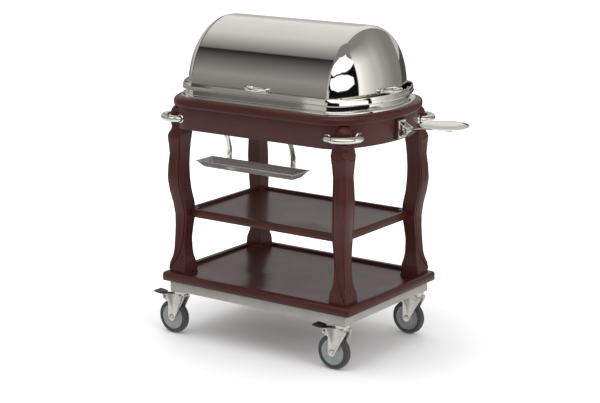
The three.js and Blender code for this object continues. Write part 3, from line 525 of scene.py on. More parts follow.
# ---- Finishes ----
@dataclass
class Shader:
    """Builds the node graph of a material or of the world."""

    owner: bpy.types.ID

    @classmethod
    def empty(cls, owner: bpy.types.ID) -> "Shader":
        """Starts with an empty node graph.

        Args:
            owner: the material or the world.

        Returns:
            The builder of its graph.
        """
        owner.use_nodes = True
        owner.node_tree.nodes.clear()
        return cls(owner)

    def node(self, kind: str, **inputs: object) -> bpy.types.Node:
        """Adds a node and fills its sockets and settings.

        Args:
            kind: the node's type.
            inputs: its sockets by name, or by number as i0; its settings with an underscore before them.

        Returns:
            The node.
        """
        node = self.owner.node_tree.nodes.new(kind)
        for key, value in inputs.items():
            if key.startswith("_"):
                setattr(node, key[1:], value)
                continue
            numbered = key[0] == "i" and key[1:].isdigit()
            socket = node.inputs[int(key[1:]) if numbered else key.replace("_", " ")]
            if isinstance(value, Socket):
                self.owner.node_tree.links.new(value, socket)
            else:
                socket.default_value = (*value, 1.0) if socket.type == "RGBA" else value
        return node

    def read(self, kind: str, output: str | int, **inputs: object) -> Socket:
        """Adds a node and returns one of its outputs."""
        return self.node(kind, **inputs).outputs[output]

    def placed(self, scale: Point = (1.0, 1.0, 1.0)) -> Socket:
        """Returns the object's own coordinates, stretched."""
        place = self.read("ShaderNodeTexCoord", "Object")
        return self.read("ShaderNodeMapping", "Vector", Vector=place, Scale=scale)

    def noise(self, scale: float, detail: float, vector: Socket | None = None,
              roughness: float = 0.5, distortion: float = 0.0) -> Socket:
        """Returns a noise pattern's value, over the object's own coordinates if no others are given."""
        return self.read("ShaderNodeTexNoise", "Fac", Scale=scale, Detail=detail, Roughness=roughness,
                         Distortion=distortion, Vector=self.placed() if vector is None else vector)

    def ramp(self, value: Socket, stops: Sequence[tuple[float, Point]],
             kind: str = "LINEAR") -> Socket:
        """Maps a value through colour stops.

        Args:
            value: the value, from 0 to 1.
            stops: places on that span with their colours.
            kind: how the colours blend between the stops.

        Returns:
            The colour.
        """
        node = self.node("ShaderNodeValToRGB", Fac=value)
        node.color_ramp.interpolation = kind
        line = node.color_ramp.elements
        while len(line) < len(stops):
            line.new(0.5)
        for element, (place, colour) in zip(line, stops):
            element.position = place
            element.color = (*colour, 1.0)
        return node.outputs["Color"]

    def spread(self, value: Socket, low: float, high: float,
               start: float = 0.0, end: float = 1.0) -> Socket:
        """Maps a value from start and end to low and high."""
        return self.read("ShaderNodeMapRange", "Result", Value=value, i1=start, i2=end, i3=low, i4=high)

    def math(self, operation: str, a: object, b: object = 0.0) -> Socket:
        """Combines two values."""
        return self.read("ShaderNodeMath", "Value", _operation=operation, i0=a, i1=b)

    def times(self, value: object, *factors: object) -> Socket:
        """Multiplies values.

        Args:
            value: the first of them.
            factors: the others.

        Returns:
            The product.
        """
        for factor in factors:
            value = self.math("MULTIPLY", value, factor)
        return value

    def mix(self, factor: object, a: object, b: object) -> Socket:
        """Mixes two colours."""
        return self.read("ShaderNodeMix", 2, _data_type="RGBA", i0=factor, i6=a, i7=b)

    def bump(self, height: Socket, strength: float, distance: float = 0.0002,
             under: Socket | None = None) -> Socket:
        """Turns a height into a bumped normal.

        Args:
            height: the height, from 0 to 1.
            strength: how much of the bump shows.
            distance: how far it stands out, in metres.
            under: a normal that it is laid over.

        Returns:
            The normal.
        """
        extra = {} if under is None else {"Normal": under}
        return self.read("ShaderNodeBump", "Normal", Strength=strength, Distance=distance,
                         Height=height, **extra)

    def principled(self, **inputs: object) -> Material:
        """Ends the graph in a principled surface.

        Args:
            inputs: the surface's sockets by name.

        Returns:
            The material.
        """
        surface = self.read("ShaderNodeBsdfPrincipled", "BSDF", **inputs)
        self.node("ShaderNodeOutputMaterial", Surface=surface)
        return self.owner


@dataclass(frozen=True)
class Finish:
    """A finish of the record's material slots; one material is made for each."""

    slot: str
    look: str = ""
    made: ClassVar[dict["Finish", Material]] = {}

    def material(self) -> Material:
        """Looks up the finish's material, and makes it on first use.

        Returns:
            The material.
        """
        if self not in Finish.made:
            name = f"{self.slot}_{self.look}" if self.look else self.slot
            Finish.made[self] = self.build(Shader.empty(bpy.data.materials.new(name)))
        return Finish.made[self]

    def build(self, shader: Shader) -> Material:
        """Draws the finish's node graph, and returns its material."""
        raise NotImplementedError


@dataclass(frozen=True)
class Mahogany(Finish):
    """Dark stained mahogany under satin lacquer, with ribbon figure, pores and rubbed edges."""

    grain: Grain = Grain.UPRIGHT
    dark: Point = (0.030, 0.0058, 0.0048)
    light: Point = (0.066, 0.0125, 0.0104)
    pore_fill: Point = (0.012, 0.004, 0.004)
    rubbed: Point = (0.085, 0.028, 0.022)
    specular: float = 0.17
    coat: float = 0.42

    def build(self, shader: Shader) -> Material:
        """Draws the figure, the pores and the rubbed edges.

        Args:
            shader: the builder of the material's graph.

        Returns:
            The material.
        """
        along = shader.placed(self.grain.value)
        ribbon = shader.noise(14.0, 3.0, along, 0.55, 0.4)
        figure = shader.noise(120.0, 6.0, along, 0.6, 0.8)
        pores = shader.noise(900.0, 2.0, along, 0.5)
        mixed = shader.math("ADD", shader.times(ribbon, 0.5), shader.times(figure, 0.5))
        colour = shader.ramp(mixed, [(0.3, self.dark), (0.52, self.light), (0.7, self.dark)])
        pore = shader.spread(pores, 0.0, 1.0, 0.60, 0.68)
        stained = shader.mix(shader.times(pore, 0.35), colour, self.pore_fill)
        worn = shader.spread(shader.read("ShaderNodeNewGeometry", "Pointiness"), 0.0, 0.4, 0.53, 0.62)
        handled = shader.noise(9.0, 4.0)
        normal = shader.bump(figure, 0.06, 0.0006, shader.bump(pore, 0.10))
        return shader.principled(
            Base_Color=shader.mix(worn, stained, self.rubbed), Normal=normal,
            Roughness=shader.spread(handled, 0.34, 0.48), Specular_IOR_Level=self.specular,
            Coat_Weight=self.coat, Coat_Roughness=shader.spread(handled, 0.16, 0.25))


@dataclass(frozen=True)
class BoardWood(Finish):
    """Oiled beech staves with fine knife marks."""

    def build(self, shader: Shader) -> Material:
        """Draws the staves, their figure and the knife marks.

        Args:
            shader: the builder of the material's graph.

        Returns:
            The material.
        """
        along = shader.placed(Grain.LENGTHWISE.value)
        across = shader.read("ShaderNodeSeparateXYZ", "Y", Vector=shader.placed())
        staves = shader.read("ShaderNodeTexVoronoi", "Color", _voronoi_dimensions="1D", Scale=25.0, W=across)
        figure = shader.noise(90.0, 6.0, along, 0.6, 0.6)
        fleck = shader.noise(700.0, 2.0, along)
        colour = shader.ramp(figure, [(0.3, (0.42, 0.24, 0.11)), (0.7, (0.60, 0.38, 0.20))])
        toned = shader.mix(0.25, colour, staves)
        tinted = shader.read("ShaderNodeHueSaturation", "Color", Saturation=0.8, Color=toned)
        knife = shader.noise(260.0, 1.0, shader.placed((0.2, 6.0, 1.0)), 0.5, 1.5)
        normal = shader.bump(knife, 0.15, 0.0003, shader.bump(fleck, 0.1))
        rough = shader.spread(figure, 0.45, 0.62)
        return shader.principled(Base_Color=tinted, Roughness=rough, Normal=normal)


@dataclass(frozen=True)
class Pattern:
    """A noise: how fine it is, its detail and roughness, and how it is stretched."""

    scale: float
    detail: float
    roughness: float = 0.5
    stretch: Point = (1.0, 1.0, 1.0)

    def drawn(self, shader: Shader) -> Socket:
        """Adds the noise to a graph."""
        return shader.noise(self.scale, self.detail, shader.placed(self.stretch), self.roughness)


@dataclass(frozen=True)
class Surface(Finish):
    """Metal, rubber or plastic with a cloudy tone and a fine relief.

    The roughness follows the relief where the surface is brushed or wiped, and the cloud elsewhere.
    """

    cloud: Pattern = Pattern(12.0, 4.0)
    tones: Sequence[tuple[float, Point]] = ()
    relief: Pattern = Pattern(500.0, 2.0)
    height: float = 0.05
    rough: tuple[float, float] = (0.3, 0.5)
    metallic: float = 0.0
    wiped: bool = False

    def build(self, shader: Shader) -> Material:
        """Draws the clouds and the relief.

        Args:
            shader: the builder of the material's graph.

        Returns:
            The material.
        """
        cloud, relief = self.cloud.drawn(shader), self.relief.drawn(shader)
        return shader.principled(
            Base_Color=shader.ramp(cloud, self.tones), Metallic=self.metallic,
            Roughness=shader.spread(relief if self.wiped else cloud, *self.rough),
            Normal=shader.bump(relief, self.height))


def polished(look: str, level: float, metallic: float, rough: tuple[float, float]) -> Surface:
    """Makes a stainless steel finish with faint wiping marks.

    Args:
        look: the finish's name within its slot.
        level: how light the steel is.
        metallic: how metallic it is.
        rough: its roughness between the marks and on them.

    Returns:
        The finish.
    """
    tones = tuple((place, tuple(level * share for share in shares)) for place, shares in (
        (0.3, (1.0, 0.985, 0.955)), (0.7, (0.96, 0.945, 0.91))))
    wiping = Pattern(160.0, 4.0, 0.6, (0.15, 1.0, 1.0))
    return Surface("polished_steel", look, Pattern(7.0, 3.0), tones, wiping, 0.012, rough, metallic, True)


def moulded(slot: str, colour: Point, bloom: Point, rough: tuple[float, float], stipple: float) -> Surface:
    """Makes a rubber or plastic finish with a fine stipple and a dusty bloom.

    Args:
        slot: the record's material slot.
        colour: the clean colour.
        bloom: the dusty colour.
        rough: its roughness where it is clean and where it is dusty.
        stipple: the relief's strength.

    Returns:
        The finish.
    """
    return Surface(slot, "", Pattern(30.0, 5.0, 0.65), ((0.35, colour), (0.72, bloom)),
                   Pattern(1400.0, 2.0), stipple, rough)


POLISHED = polished("mirror", 0.86, 1.0, (0.02, 0.05))
BUFFED = polished("buffed", 0.80, 0.8, (0.10, 0.16))
SATIN = Surface(
    "satin_steel", "", Pattern(12.0, 4.0), ((0.3, (0.34, 0.327, 0.306)), (0.7, (0.42, 0.407, 0.382))),
    Pattern(900.0, 3.0, 0.6, (0.03, 1.0, 1.0)), 0.08, (0.34, 0.50), 0.3, wiped=True)
ZINC = Surface(
    "zinc_steel", "", Pattern(55.0, 5.0, 0.6), ((0.3, (0.58, 0.575, 0.55)), (0.7, (0.72, 0.71, 0.68))),
    Pattern(500.0, 2.0), 0.05, (0.18, 0.30), 0.85)
BOARD = BoardWood("board_wood")
TYRE = moulded("grey_tyre", (0.040, 0.042, 0.040), (0.066, 0.068, 0.065), (0.54, 0.72), 0.25)
HUB = moulded("wheel_centre", (0.265, 0.289, 0.294), (0.332, 0.360, 0.365), (0.37, 0.55), 0.12)
PEDAL = moulded("pedal_black", (0.016, 0.017, 0.018), (0.030, 0.031, 0.033), (0.37, 0.55), 0.3)
# Lengthwise mahogany for the slab, apron, middle shelf and base board. Its dark and light tones are turned
# down a tenth from the upright legs' wood, to paint the shade that falls under the slab's overhang.
SHADED_WOOD_X = Mahogany(
    "mahogany", "lengthwise", Grain.LENGTHWISE, dark=(0.027, 0.0052, 0.0043), light=(0.060, 0.0112, 0.0093))
WOOD_Z = Mahogany("mahogany", "upright")


def fit(obj: Solid, finish: Finish, body: str, *nodes: str) -> Solid:
    """Finishes a piece and hangs it on a body in place of its CAD nodes.

    Args:
        obj: the modelled piece.
        finish: what it is made of.
        body: the CAD body it moves with.
        nodes: the CAD nodes it stands for.

    Returns:
        The same object.
    """
    obj.data.materials.clear()
    obj.data.materials.append(finish.material())
    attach(obj, body)
    if nodes:
        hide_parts(*nodes)
    LOG.info("%s: %d faces on %s", obj.name, len(obj.data.polygons), body)
    return obj


def eased(name: str, node: str, finish: Finish, body: str, width: float, segments: int = 2,
          angle: float = 35.0) -> Solid:
    """Copies a CAD node's mesh, rounds its sharp edges and fits the copy in the node's place.

    Args:
        name: the copy's name.
        node: the CAD node.
        finish: what it is made of.
        body: the CAD body it moves with.
        width: how far the rounding reaches, in millimetres.
        segments: how many faces each rounding has.
        angle: the sharpness at which an edge is rounded, in degrees.

    Returns:
        The copy, at the origin.
    """
    obj = linked(name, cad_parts[node].data.copy())
    with editing(obj, everything=True):
        bpy.ops.mesh.remove_doubles(threshold=MERGE_DISTANCE)
        bpy.ops.mesh.dissolve_limited(angle_limit=FLAT_ANGLE)
    apply_modifier(obj, "BEVEL", width=width * MM, segments=segments, limit_method="ANGLE",
                   angle_limit=math.radians(angle), harden_normals=False)
    return fit(settle(obj), finish, body, node)


def at_corners(pattern: Solid, name: str, finish: Finish, node: str) -> None:
    """Mirrors a pattern to the trolley's four corners, and removes it.

    Args:
        pattern: the piece of the corner where X and Y are positive.
        name: the copies' names, with braces for the corner's tag.
        finish: what they are made of.
        node: the CAD nodes they stand for, without the tag.
    """
    for corner in Corner:
        copy = copied(name.format(corner.tag), pattern, Matrix.Diagonal((*corner.signs, 1, 1)))
        fit(copy, finish, TROLLEY, f"{node}_{corner.tag}")
    bpy.data.objects.remove(pattern)


DECK = EndedOutline(438.6, 284.5, 111, 476)
WELL = EndedOutline(428, 256, 95, 370)
TROLLEY = "trolley"


# ---- Carcass ----
@dataclass(frozen=True)
class Legs:
    """Four square tapered legs with a raised panel round the outer arris and a ball on top."""

    shift: float = 122.6
    head_y: float = 231.75
    head_r: float = 30.0
    neck_r: float = 20.0
    foot: float = 241.1
    panel_low: float = 252.0
    panel_full: float = 385.0
    panel_top: float = 741.0
    raise_by: float = 1.4
    groove: float = 2.2
    margin: float = 0.13
    taper: float = 0.81
    taper_power: float = 1.4
    collar_reach: float = 9.0
    collar_swing: float = 5.5
    collar_lean: float = 1.5
    top: float = 855.7
    neck_low: float = 790.0
    shade_angle: float = 28.0
    stations: ClassVar[tuple[tuple[float, float, float], ...]] = (
        (241, 267, 195), (255, 267, 195), (276, 264.2, 197), (298, 257, 202.5), (321, 253, 205),
        (366, 250.3, 206.2), (411, 248.3, 201.7), (456, 248.2, 196), (500, 252.9, 197.8),
        (546, 261.3, 205), (590, 265.5, 208), (635, 263.5, 208.9), (680, 259, 207),
        (720, 261, 204.3), (742, 262.9, 201.2), (756, 262.9, 200), (794, 257.3, 206.2))
    kite: ClassVar[tuple[tuple[float, float], ...]] = (
        (241, 4), (700, 4), (738, 3), (748, 3), (774, 19), (794, 7))

    @staticmethod
    def between(table: Sequence[tuple[float, ...]], z: float, column: int) -> float:
        """Reads a table between its rows.

        Args:
            table: rows that each start with their height.
            z: the height looked up.
            column: which value of the rows is read.

        Returns:
            The value at that height.
        """
        for low, high in zip(table, table[1:]):
            if z <= high[0]:
                t = max(0.0, (z - low[0]) / (high[0] - low[0]))
                return low[column] + (high[column] - low[column]) * t
        return table[-1][column]

    def section(self, z: float) -> Ring:
        """Draws the leg's section, with the panel's groove cut into its outer faces.

        Args:
            z: the section's height.

        Returns:
            The section's points.
        """
        outer = self.between(self.stations, z, 1)
        inner = self.between(self.stations, z, 2)
        arris = self.between(self.kite, z, 1)
        rise = (z - self.panel_low) / (self.panel_full - self.panel_low)
        share = self.margin + self.taper * (1 - min(max(rise, 0.0), 1.0)) ** self.taper_power
        place = min(inner + (outer - inner) * share, outer - arris - 5.0)
        shown = self.panel_low <= z <= self.panel_top
        lift, sunk = (self.raise_by, outer - self.groove) if shown else (0.0, outer)
        high = outer + lift
        face = [
            (outer - 1.6, inner), (outer, inner + 1.6), (outer, place - 2.4), (sunk, place - 0.6),
            (sunk, place + 0.6), (outer + lift * 0.7, place + 2.2), (high, place + 3.6),
            (high, (place + outer) / 2), (high, high - arris),
        ]
        blunt = high - arris * (0.3 if arris < 8 else 0.5)
        outline = [(inner, inner), *face, (blunt, blunt), *[(v, u) for u, v in reversed(face)]]
        return [(u + self.shift, v, z + self.wave(z, u, v, inner, outer)) for u, v in outline]

    def wave(self, z: float, u: float, v: float, inner: float, outer: float) -> float:
        """Works out how far the collar's edge rises or dips at a place on a section.

        Args:
            z: the section's height.
            u, v: the place on it.
            inner, outer: where its faces lie.

        Returns:
            The rise, in millimetres.
        """
        near = max(0.0, 1 - abs(z - self.panel_top) / self.collar_reach)
        across = (min(u, v) - inner) / (outer - inner)
        return near * (self.collar_swing * math.cos(2 * math.pi * across) + self.collar_lean * across - 1.0)

    def shaft(self) -> Solid:
        """Lofts the shaft from the foot to the neck.

        Returns:
            The shaft.
        """
        heights = [self.foot, 244, 248, 251.9, 252.1, 258, 264, 270, 276, 283, 290, 298, 306, 314, 322]
        heights += [330 + 14 * i for i in range(29)]
        heights += [730, 736, 740.9, 742.6, 748, 756, 762, 771, 780, 787, 794]
        leg = loft("leg_shaft", [self.section(z) for z in heights])
        return settle(leg, math.radians(self.shade_angle))

    def head(self) -> Solid:
        """Spins the neck, its collar and the ball.

        Returns:
            The head.
        """
        middle = self.top - math.sqrt(self.head_r**2 - (self.head_r / 2) ** 2)
        ball = arc(0, middle, self.head_r, -math.acos(self.neck_r / self.head_r), math.acos(0.5), 20)
        neck, collar = self.neck_r, ball[0][1]
        profile = [(0.001, self.neck_low), (neck, self.neck_low), (neck, collar - 4),
                   (neck + 1.2, collar - 2), *ball, (0.001, self.top)]
        return turned("leg_head", profile, (self.head_y + self.shift, self.head_y, 0), UPWARDS, 40)

    def build(self) -> None:
        """Models one leg and mirrors it to the other corners."""
        at_corners(joined("leg_pattern", self.shaft(), self.head()), "leg_{}_turned", WOOD_Z, "leg")


@dataclass(frozen=True)
class Carcass:
    """The deck slab with its apron, the middle shelf and the base board."""

    deck_top: float = 889.0
    deck_bottom: float = 856.0
    top_round: float = 14.0
    bottom_round: float = 8.0
    opening: float = 60.0
    apron_inset: float = 10.0
    apron_wall: float = 21.0
    apron_depth: float = 78.0

    def slab(self) -> Solid:
        """Builds the deck slab with a full round edge, open over the well.

        Returns:
            The slab.
        """
        low = quarter_round(self.bottom_round, self.deck_bottom, -1, 5)[::-1]
        high = quarter_round(self.top_round, self.deck_top, 1, 8)
        outer = [*low, *high, (self.top_round + 2, self.deck_top)]
        rings = [DECK.ring(inset, z) for inset, z in outer]
        rings += [WELL.ring(self.opening, z) for z in (self.deck_top, self.deck_bottom)]
        rings.append(DECK.ring(self.bottom_round + 2, self.deck_bottom))
        return loft("deck_slab_round_edged", rings, closed=True)

    def apron(self) -> Solid:
        """Builds the apron's bent wall with eased lower edges.

        Returns:
            The apron.
        """
        low, high = self.deck_bottom - 0.3 - self.apron_depth, self.deck_bottom - 0.3
        outer, inner = self.apron_inset, self.apron_inset + self.apron_wall
        profile = [(outer + 1.5, low), (outer + 0.4, low + 0.5), (outer, low + 1.6), (outer, high),
                   (inner, high), (inner, low + 1.6), (inner - 0.4, low + 0.5), (inner - 1.5, low)]
        return DECK.loft("apron_bent", profile, closed=True)

    def build(self) -> None:
        """Builds and finishes the wooden boards and the legs."""
        # The lengthwise boards take the darker mahogany, whose turned-down tones paint the shade under the
        # slab's overhang.
        fit(self.slab(), SHADED_WOOD_X, TROLLEY, "deck_slab")
        fit(self.apron(), SHADED_WOOD_X, TROLLEY, "apron")
        eased("middle_shelf_eased", "middle_shelf", SHADED_WOOD_X, TROLLEY, 1.8, 3)
        eased("base_board_eased", "base_board", SHADED_WOOD_X, TROLLEY, 1.5, 3)
        Legs().build()


# ---- Casters and underframe ----
@dataclass(frozen=True)
class Caster:
    """A braked swivel caster: top plate, stamped fork, tyred wheel on its axle, and pedal."""

    corner: Corner
    x: float = 358.0
    y: float = 241.0
    trail: float = 34.0
    wheel_r: float = 62.5
    tyre_half: float = 13.5
    hub_r: float = 46.0
    hub_half: float = 15.2
    axle_r: float = 5.0
    cheek_outer: float = 18.3

    def centre(self) -> tuple[float, float, float]:
        """Returns the middle of the wheel."""
        sx, sy = self.corner.signs
        return sx * self.x - self.trail, sy * self.y, self.wheel_r

    def spun(self, kind: str, profile: Profile, steps: int) -> Solid:
        """Spins a profile round the wheel's axle."""
        return turned(f"{kind}_{self.corner.tag}", profile, self.centre(), SIDEWAYS, steps)

    def tyre(self) -> Solid:
        """Spins a tyre with a crowned tread, round shoulders and a moulded line on each side.

        Returns:
            The tyre.
        """
        half, r = self.tyre_half, self.wheel_r
        side = [(self.hub_r, half - 1), (self.hub_r + 2, half - 0.4), (self.hub_r + 3.4, half - 1.3),
                (self.hub_r + 5, half), (r - 7, half), (r - 3.6, half - 1.3), (r - 1.2, half - 4),
                (r - 0.2, half - 8), (r, 0)]
        return self.spun("tyre", two_sided(side), 72)

    def hub(self) -> Solid:
        """Spins a dished wheel centre with a raised boss and rim.

        Returns:
            The wheel centre.
        """
        bore = self.axle_r + 0.3
        side = [(bore, self.hub_half), (13.5, self.hub_half), (15, self.hub_half - 1), (16, 10.5),
                (19, 7.6), (33, 7.0), (37, 7.6), (39, 9.5), (self.hub_r - 4, 11.6),
                (self.hub_r - 0.5, 12.2), (self.hub_r - 0.5, 0)]
        return self.spun("hub", two_sided(side), 72)

    def axle(self) -> Solid:
        """Spins the axle bolt with a washer and a domed head at each end.

        Returns:
            The bolt.
        """
        out = self.cheek_outer
        side = [(self.axle_r, 0), (self.axle_r, out + 0.3), (10.5, out + 0.3), (10.5, out + 1.6),
                (8.6, out + 1.8), (8.4, out + 5), (7.4, out + 6), (0.001, out + 6.4)]
        return self.spun("axle", [*[(a, -b) for a, b in reversed(side[1:])], *side], 32)

    def build(self) -> None:
        """Builds and finishes the caster's pieces."""
        tag = self.corner.tag
        wheel, swivel = f"wheel_{tag}", f"swivel_{tag}"
        fit(self.tyre(), TYRE, wheel, f"wheel_tyre_{tag}")
        fit(self.hub(), HUB, wheel, f"wheel_hub_{tag}")
        fit(self.axle(), ZINC, swivel, f"wheel_axle_{tag}")
        eased(f"fork_{tag}", f"caster_fork_{tag}", ZINC, swivel, 0.9)
        eased(f"top_plate_{tag}", f"caster_plate_{tag}", ZINC, TROLLEY, 0.8)
        eased(f"pedal_{tag}", f"brake_pedal_{tag}", PEDAL, f"pedal_{tag}", 1.2, 3)


# ---- Well ----
@dataclass(frozen=True)
class Well:
    """The stepped steel frame with what it holds: water pan, cover plate, board and gravy pans."""

    bottom: float = 889.3
    rim: float = 941.0
    ledge: float = 921.5

    def frame_ring(self) -> Solid:
        """Builds the frame with its rolled flange, recessed channel and beaded rim.

        Returns:
            The frame.
        """
        profile = [
            (0, self.bottom), (0, 892.6), (0.6, 894.2), (2.0, 895.0), (12.0, 897.0), (16.4, 898.0),
            (18.0, 899.4), (18.0, 914.4), (17.0, 915.9), (10.0, 917.3), (7.2, 918.5), (6.4, 920.2),
            (7.7, 928.6), (8.6, 929.3), (8.8, 930.5), (8.2, 931.2), (9.7, self.rim - 2.2),
            (10.3, self.rim - 0.8), (11.0, self.rim), (11.6, self.rim - 0.3), (12.0, self.rim - 1.4),
            (12.0, self.ledge), (57, self.ledge), (57, self.ledge - 3), (21, self.ledge - 3),
            (21, self.bottom),
        ]
        return WELL.loft("well_frame_beaded", profile, closed=True)

    def build(self) -> None:
        """Builds and finishes the well's pieces."""
        fit(self.frame_ring(), POLISHED, TROLLEY, "well_frame")
        for node, finish, body, width, segments in (
                ("water_pan", SATIN, TROLLEY, 0.5, 2), ("cover_plate", SATIN, TROLLEY, 0.4, 2),
                ("carving_board", BOARD, "carving_board", 1.2, 3),
                ("gravy_pan_front", SATIN, "gravy_pan_front", 0.5, 2),
                ("gravy_pan_rear", SATIN, "gravy_pan_rear", 0.5, 2)):
            eased(f"{node}_eased", node, finish, body, width, segments)


# ---- Dome ----
@dataclass(frozen=True)
class Dome:
    """A mirror barrel with dished ends, bow handles and rear hinge leaves."""

    radius: float = 236.0
    axis_z: float = 926.0
    barrel: float = 290.0
    apex: float = 383.0
    shoulder: float = 36.0
    sheet: float = 1.8
    foot: float = 921.8
    arc_steps: int = 128
    shoulder_steps: int = 16
    dish_steps: int = 40
    handle_z: float = 948.0
    handle_r: float = 6.5
    boss_r: float = 8.0
    handle_half: float = 40.0
    reach: float = 30.0
    end_reach: float = 38.0

    def dish(self) -> tuple[float, float, float]:
        """Works out the arcs of a dished end and its shoulder.

        Returns:
            The shoulder's turn, the dished end's radius and the place of its centre along the axis.
        """
        tilt = (self.apex - self.barrel - self.shoulder) / (self.radius - self.shoulder)
        turn = math.pi / 2 - 2 * math.atan(tilt)
        radius = (self.radius - self.shoulder) / math.cos(turn) + self.shoulder
        return turn, radius, self.apex - radius

    def profile(self) -> Profile:
        """Lists half the dome's outline, from beside its middle to the middle of an end.

        Returns:
            Pairs of place along the axis and radius.
        """
        turn, dish_r, dish_x = self.dish()
        straight = [(self.barrel * i / 6, self.radius) for i in range(1, 6)]
        shoulder = arc(self.radius - self.shoulder, self.barrel, self.shoulder, 0, turn, self.shoulder_steps)
        dish = arc(0, dish_x, dish_r, turn, HALF_PI, self.dish_steps)
        ends = [(x, max(r, 0.004)) for r, x in [*shoulder, *dish[1:]]]
        return [*straight, (self.barrel - 2.0, self.radius), *ends]

    def shell(self) -> Solid:
        """Drapes a sheet over the barrel and its ends, and gives it its thickness.

        Returns:
            The shell.
        """
        half = self.profile()
        rows: list[Ring] = []
        for x, r in [*[(-x, r) for x, r in reversed(half)], (0.0, self.radius), *half]:
            bow = [(x, -y, z) for y, z in arc(0, self.axis_z, r, 0, math.pi, self.arc_steps)]
            rows.append([(x, -r, self.foot), *bow, (x, r, self.foot)])
        shell = draped("dome_shell", rows)
        apply_modifier(shell, "SOLIDIFY", thickness=self.sheet * MM, offset=-1.0, use_even_offset=True)
        return settle(shell)

    def handle(self, name: str, start: float, reach: float) -> Solid:
        """Sweeps a bow handle that stands out along -Y, on two turned bosses.

        Args:
            name: the handle's name.
            start: how far out its bosses stand.
            reach: how far the bow stands off from there.

        Returns:
            The handle.
        """
        half, out = self.handle_half, start + reach
        knots = [(-half, start + 1), (-half, start + 8), (-half * 0.82, out - 7), (-half * 0.4, out),
                 (half * 0.4, out), (half * 0.82, out - 7), (half, start + 8), (half, start + 1)]
        path = smooth_path([(x, -y, self.handle_z) for x, y in knots])
        parts = [tube(name, path, self.handle_r)]
        for x in (-half, half):
            boss = [(0.001, -0.2), (self.boss_r, -0.2), (self.boss_r, 2.2), (self.boss_r - 0.5, 3.2),
                    (self.handle_r + 0.6, 4.2), (self.handle_r + 0.1, 6), (0.001, 6)]
            parts.append(turned(f"{name}_boss", boss, (x, -start, self.handle_z), (0, -1, 0), 28))
        return joined(name, *parts)

    def build(self) -> None:
        """Builds and finishes the dome, its handles and its hinges."""
        fit(self.shell(), POLISHED, "dome", "dome")
        _, dish_r, dish_x = self.dish()
        low = self.handle_z - self.axis_z - self.boss_r
        front = math.sqrt(self.radius**2 - low**2)
        face = dish_x + math.sqrt(dish_r**2 - (self.handle_half - self.boss_r) ** 2 - low**2)
        fit(self.handle("handle_front", front, self.reach), POLISHED, "dome", "dome_handle_front")
        pattern = self.handle("handle_end", face, self.end_reach)
        for side, turn in (("right", 90), ("left", -90)):
            end = copied(f"handle_{side}", pattern, Matrix.Rotation(math.radians(turn), 4, "Z"))
            fit(end, POLISHED, "dome", f"dome_handle_{side}")
        bpy.data.objects.remove(pattern)
        for side in ("left", "right"):
            eased(f"leaf_{side}", f"hinge_leaf_{side}", POLISHED, "dome", 0.6)
            eased(f"bracket_{side}", f"hinge_bracket_{side}", POLISHED, TROLLEY, 0.6)


# ---- Fittings ----
@dataclass(frozen=True)
class CornerRail:
    """A bright tube bowed round a leg's ball, with a cup flange at each end."""

    z: float = 815.0
    radius: float = 12.0
    flange_r: float = 15.5
    flange_thick: float = 4.0
    front_x: float = 317.7
    end_angle: float = 24.0
    standoff: float = 15.0
    inset: float = 10.0
    head: tuple[float, float] = (354.35, 231.75)
    head_r: float = 30.0

    def feet(self) -> list[tuple[Vector, Vector]]:
        """Finds where the rail's two ends meet the apron.

        Returns:
            Each end's place, with the way that it faces.
        """
        x, y, _ = DECK.corner_centre()
        corner_r = DECK.corner - self.inset
        turn = math.acos((self.front_x - x) / corner_r)
        end = math.radians(self.end_angle)
        end_r = DECK.end - self.inset
        side = Vector((DECK.length - DECK.end + end_r * math.cos(end), end_r * math.sin(end), self.z))
        front = Vector((self.front_x, y + corner_r * math.sin(turn), self.z))
        return [(front, Vector((0, 1, 0))), (side, Vector((math.cos(end), math.sin(end), 0)))]

    def pattern(self) -> Solid:
        """Models the rail of the corner where X and Y are positive.

        Returns:
            The rail.
        """
        (front, up), (side, out) = self.feet()
        bow = self.standoff + self.head_r + self.radius
        hx, hy = self.head
        knots = [
            front + up * self.flange_thick, front + up * self.standoff * 0.7,
            Vector((self.front_x + self.standoff, front.y + self.standoff, self.z)),
            Vector((hx, hy + bow, self.z)), Vector((hx + bow * 0.72, hy + bow * 0.64, self.z)),
            Vector((hx + bow, hy - self.standoff / 2, self.z)),
            side + out * self.standoff, side + out * self.flange_thick,
        ]
        parts = [tube("rail", smooth_path(knots, 10), self.radius, 8)]
        r = self.flange_r
        cup = [(0.001, -2), (r, -2), (r, 2.2), (r - 0.8, 3.6), (r - 2.4, 4.4), (self.radius, 5.4),
               (0.001, 5.4)]
        for foot, way in self.feet():
            parts.append(turned("cup", cup, foot, way, 40))
        return joined("rail_pattern", *parts)

    def build(self) -> None:
        """Models one rail and mirrors it to the other corners."""
        at_corners(self.pattern(), "rail_{}", POLISHED, "corner_rail")


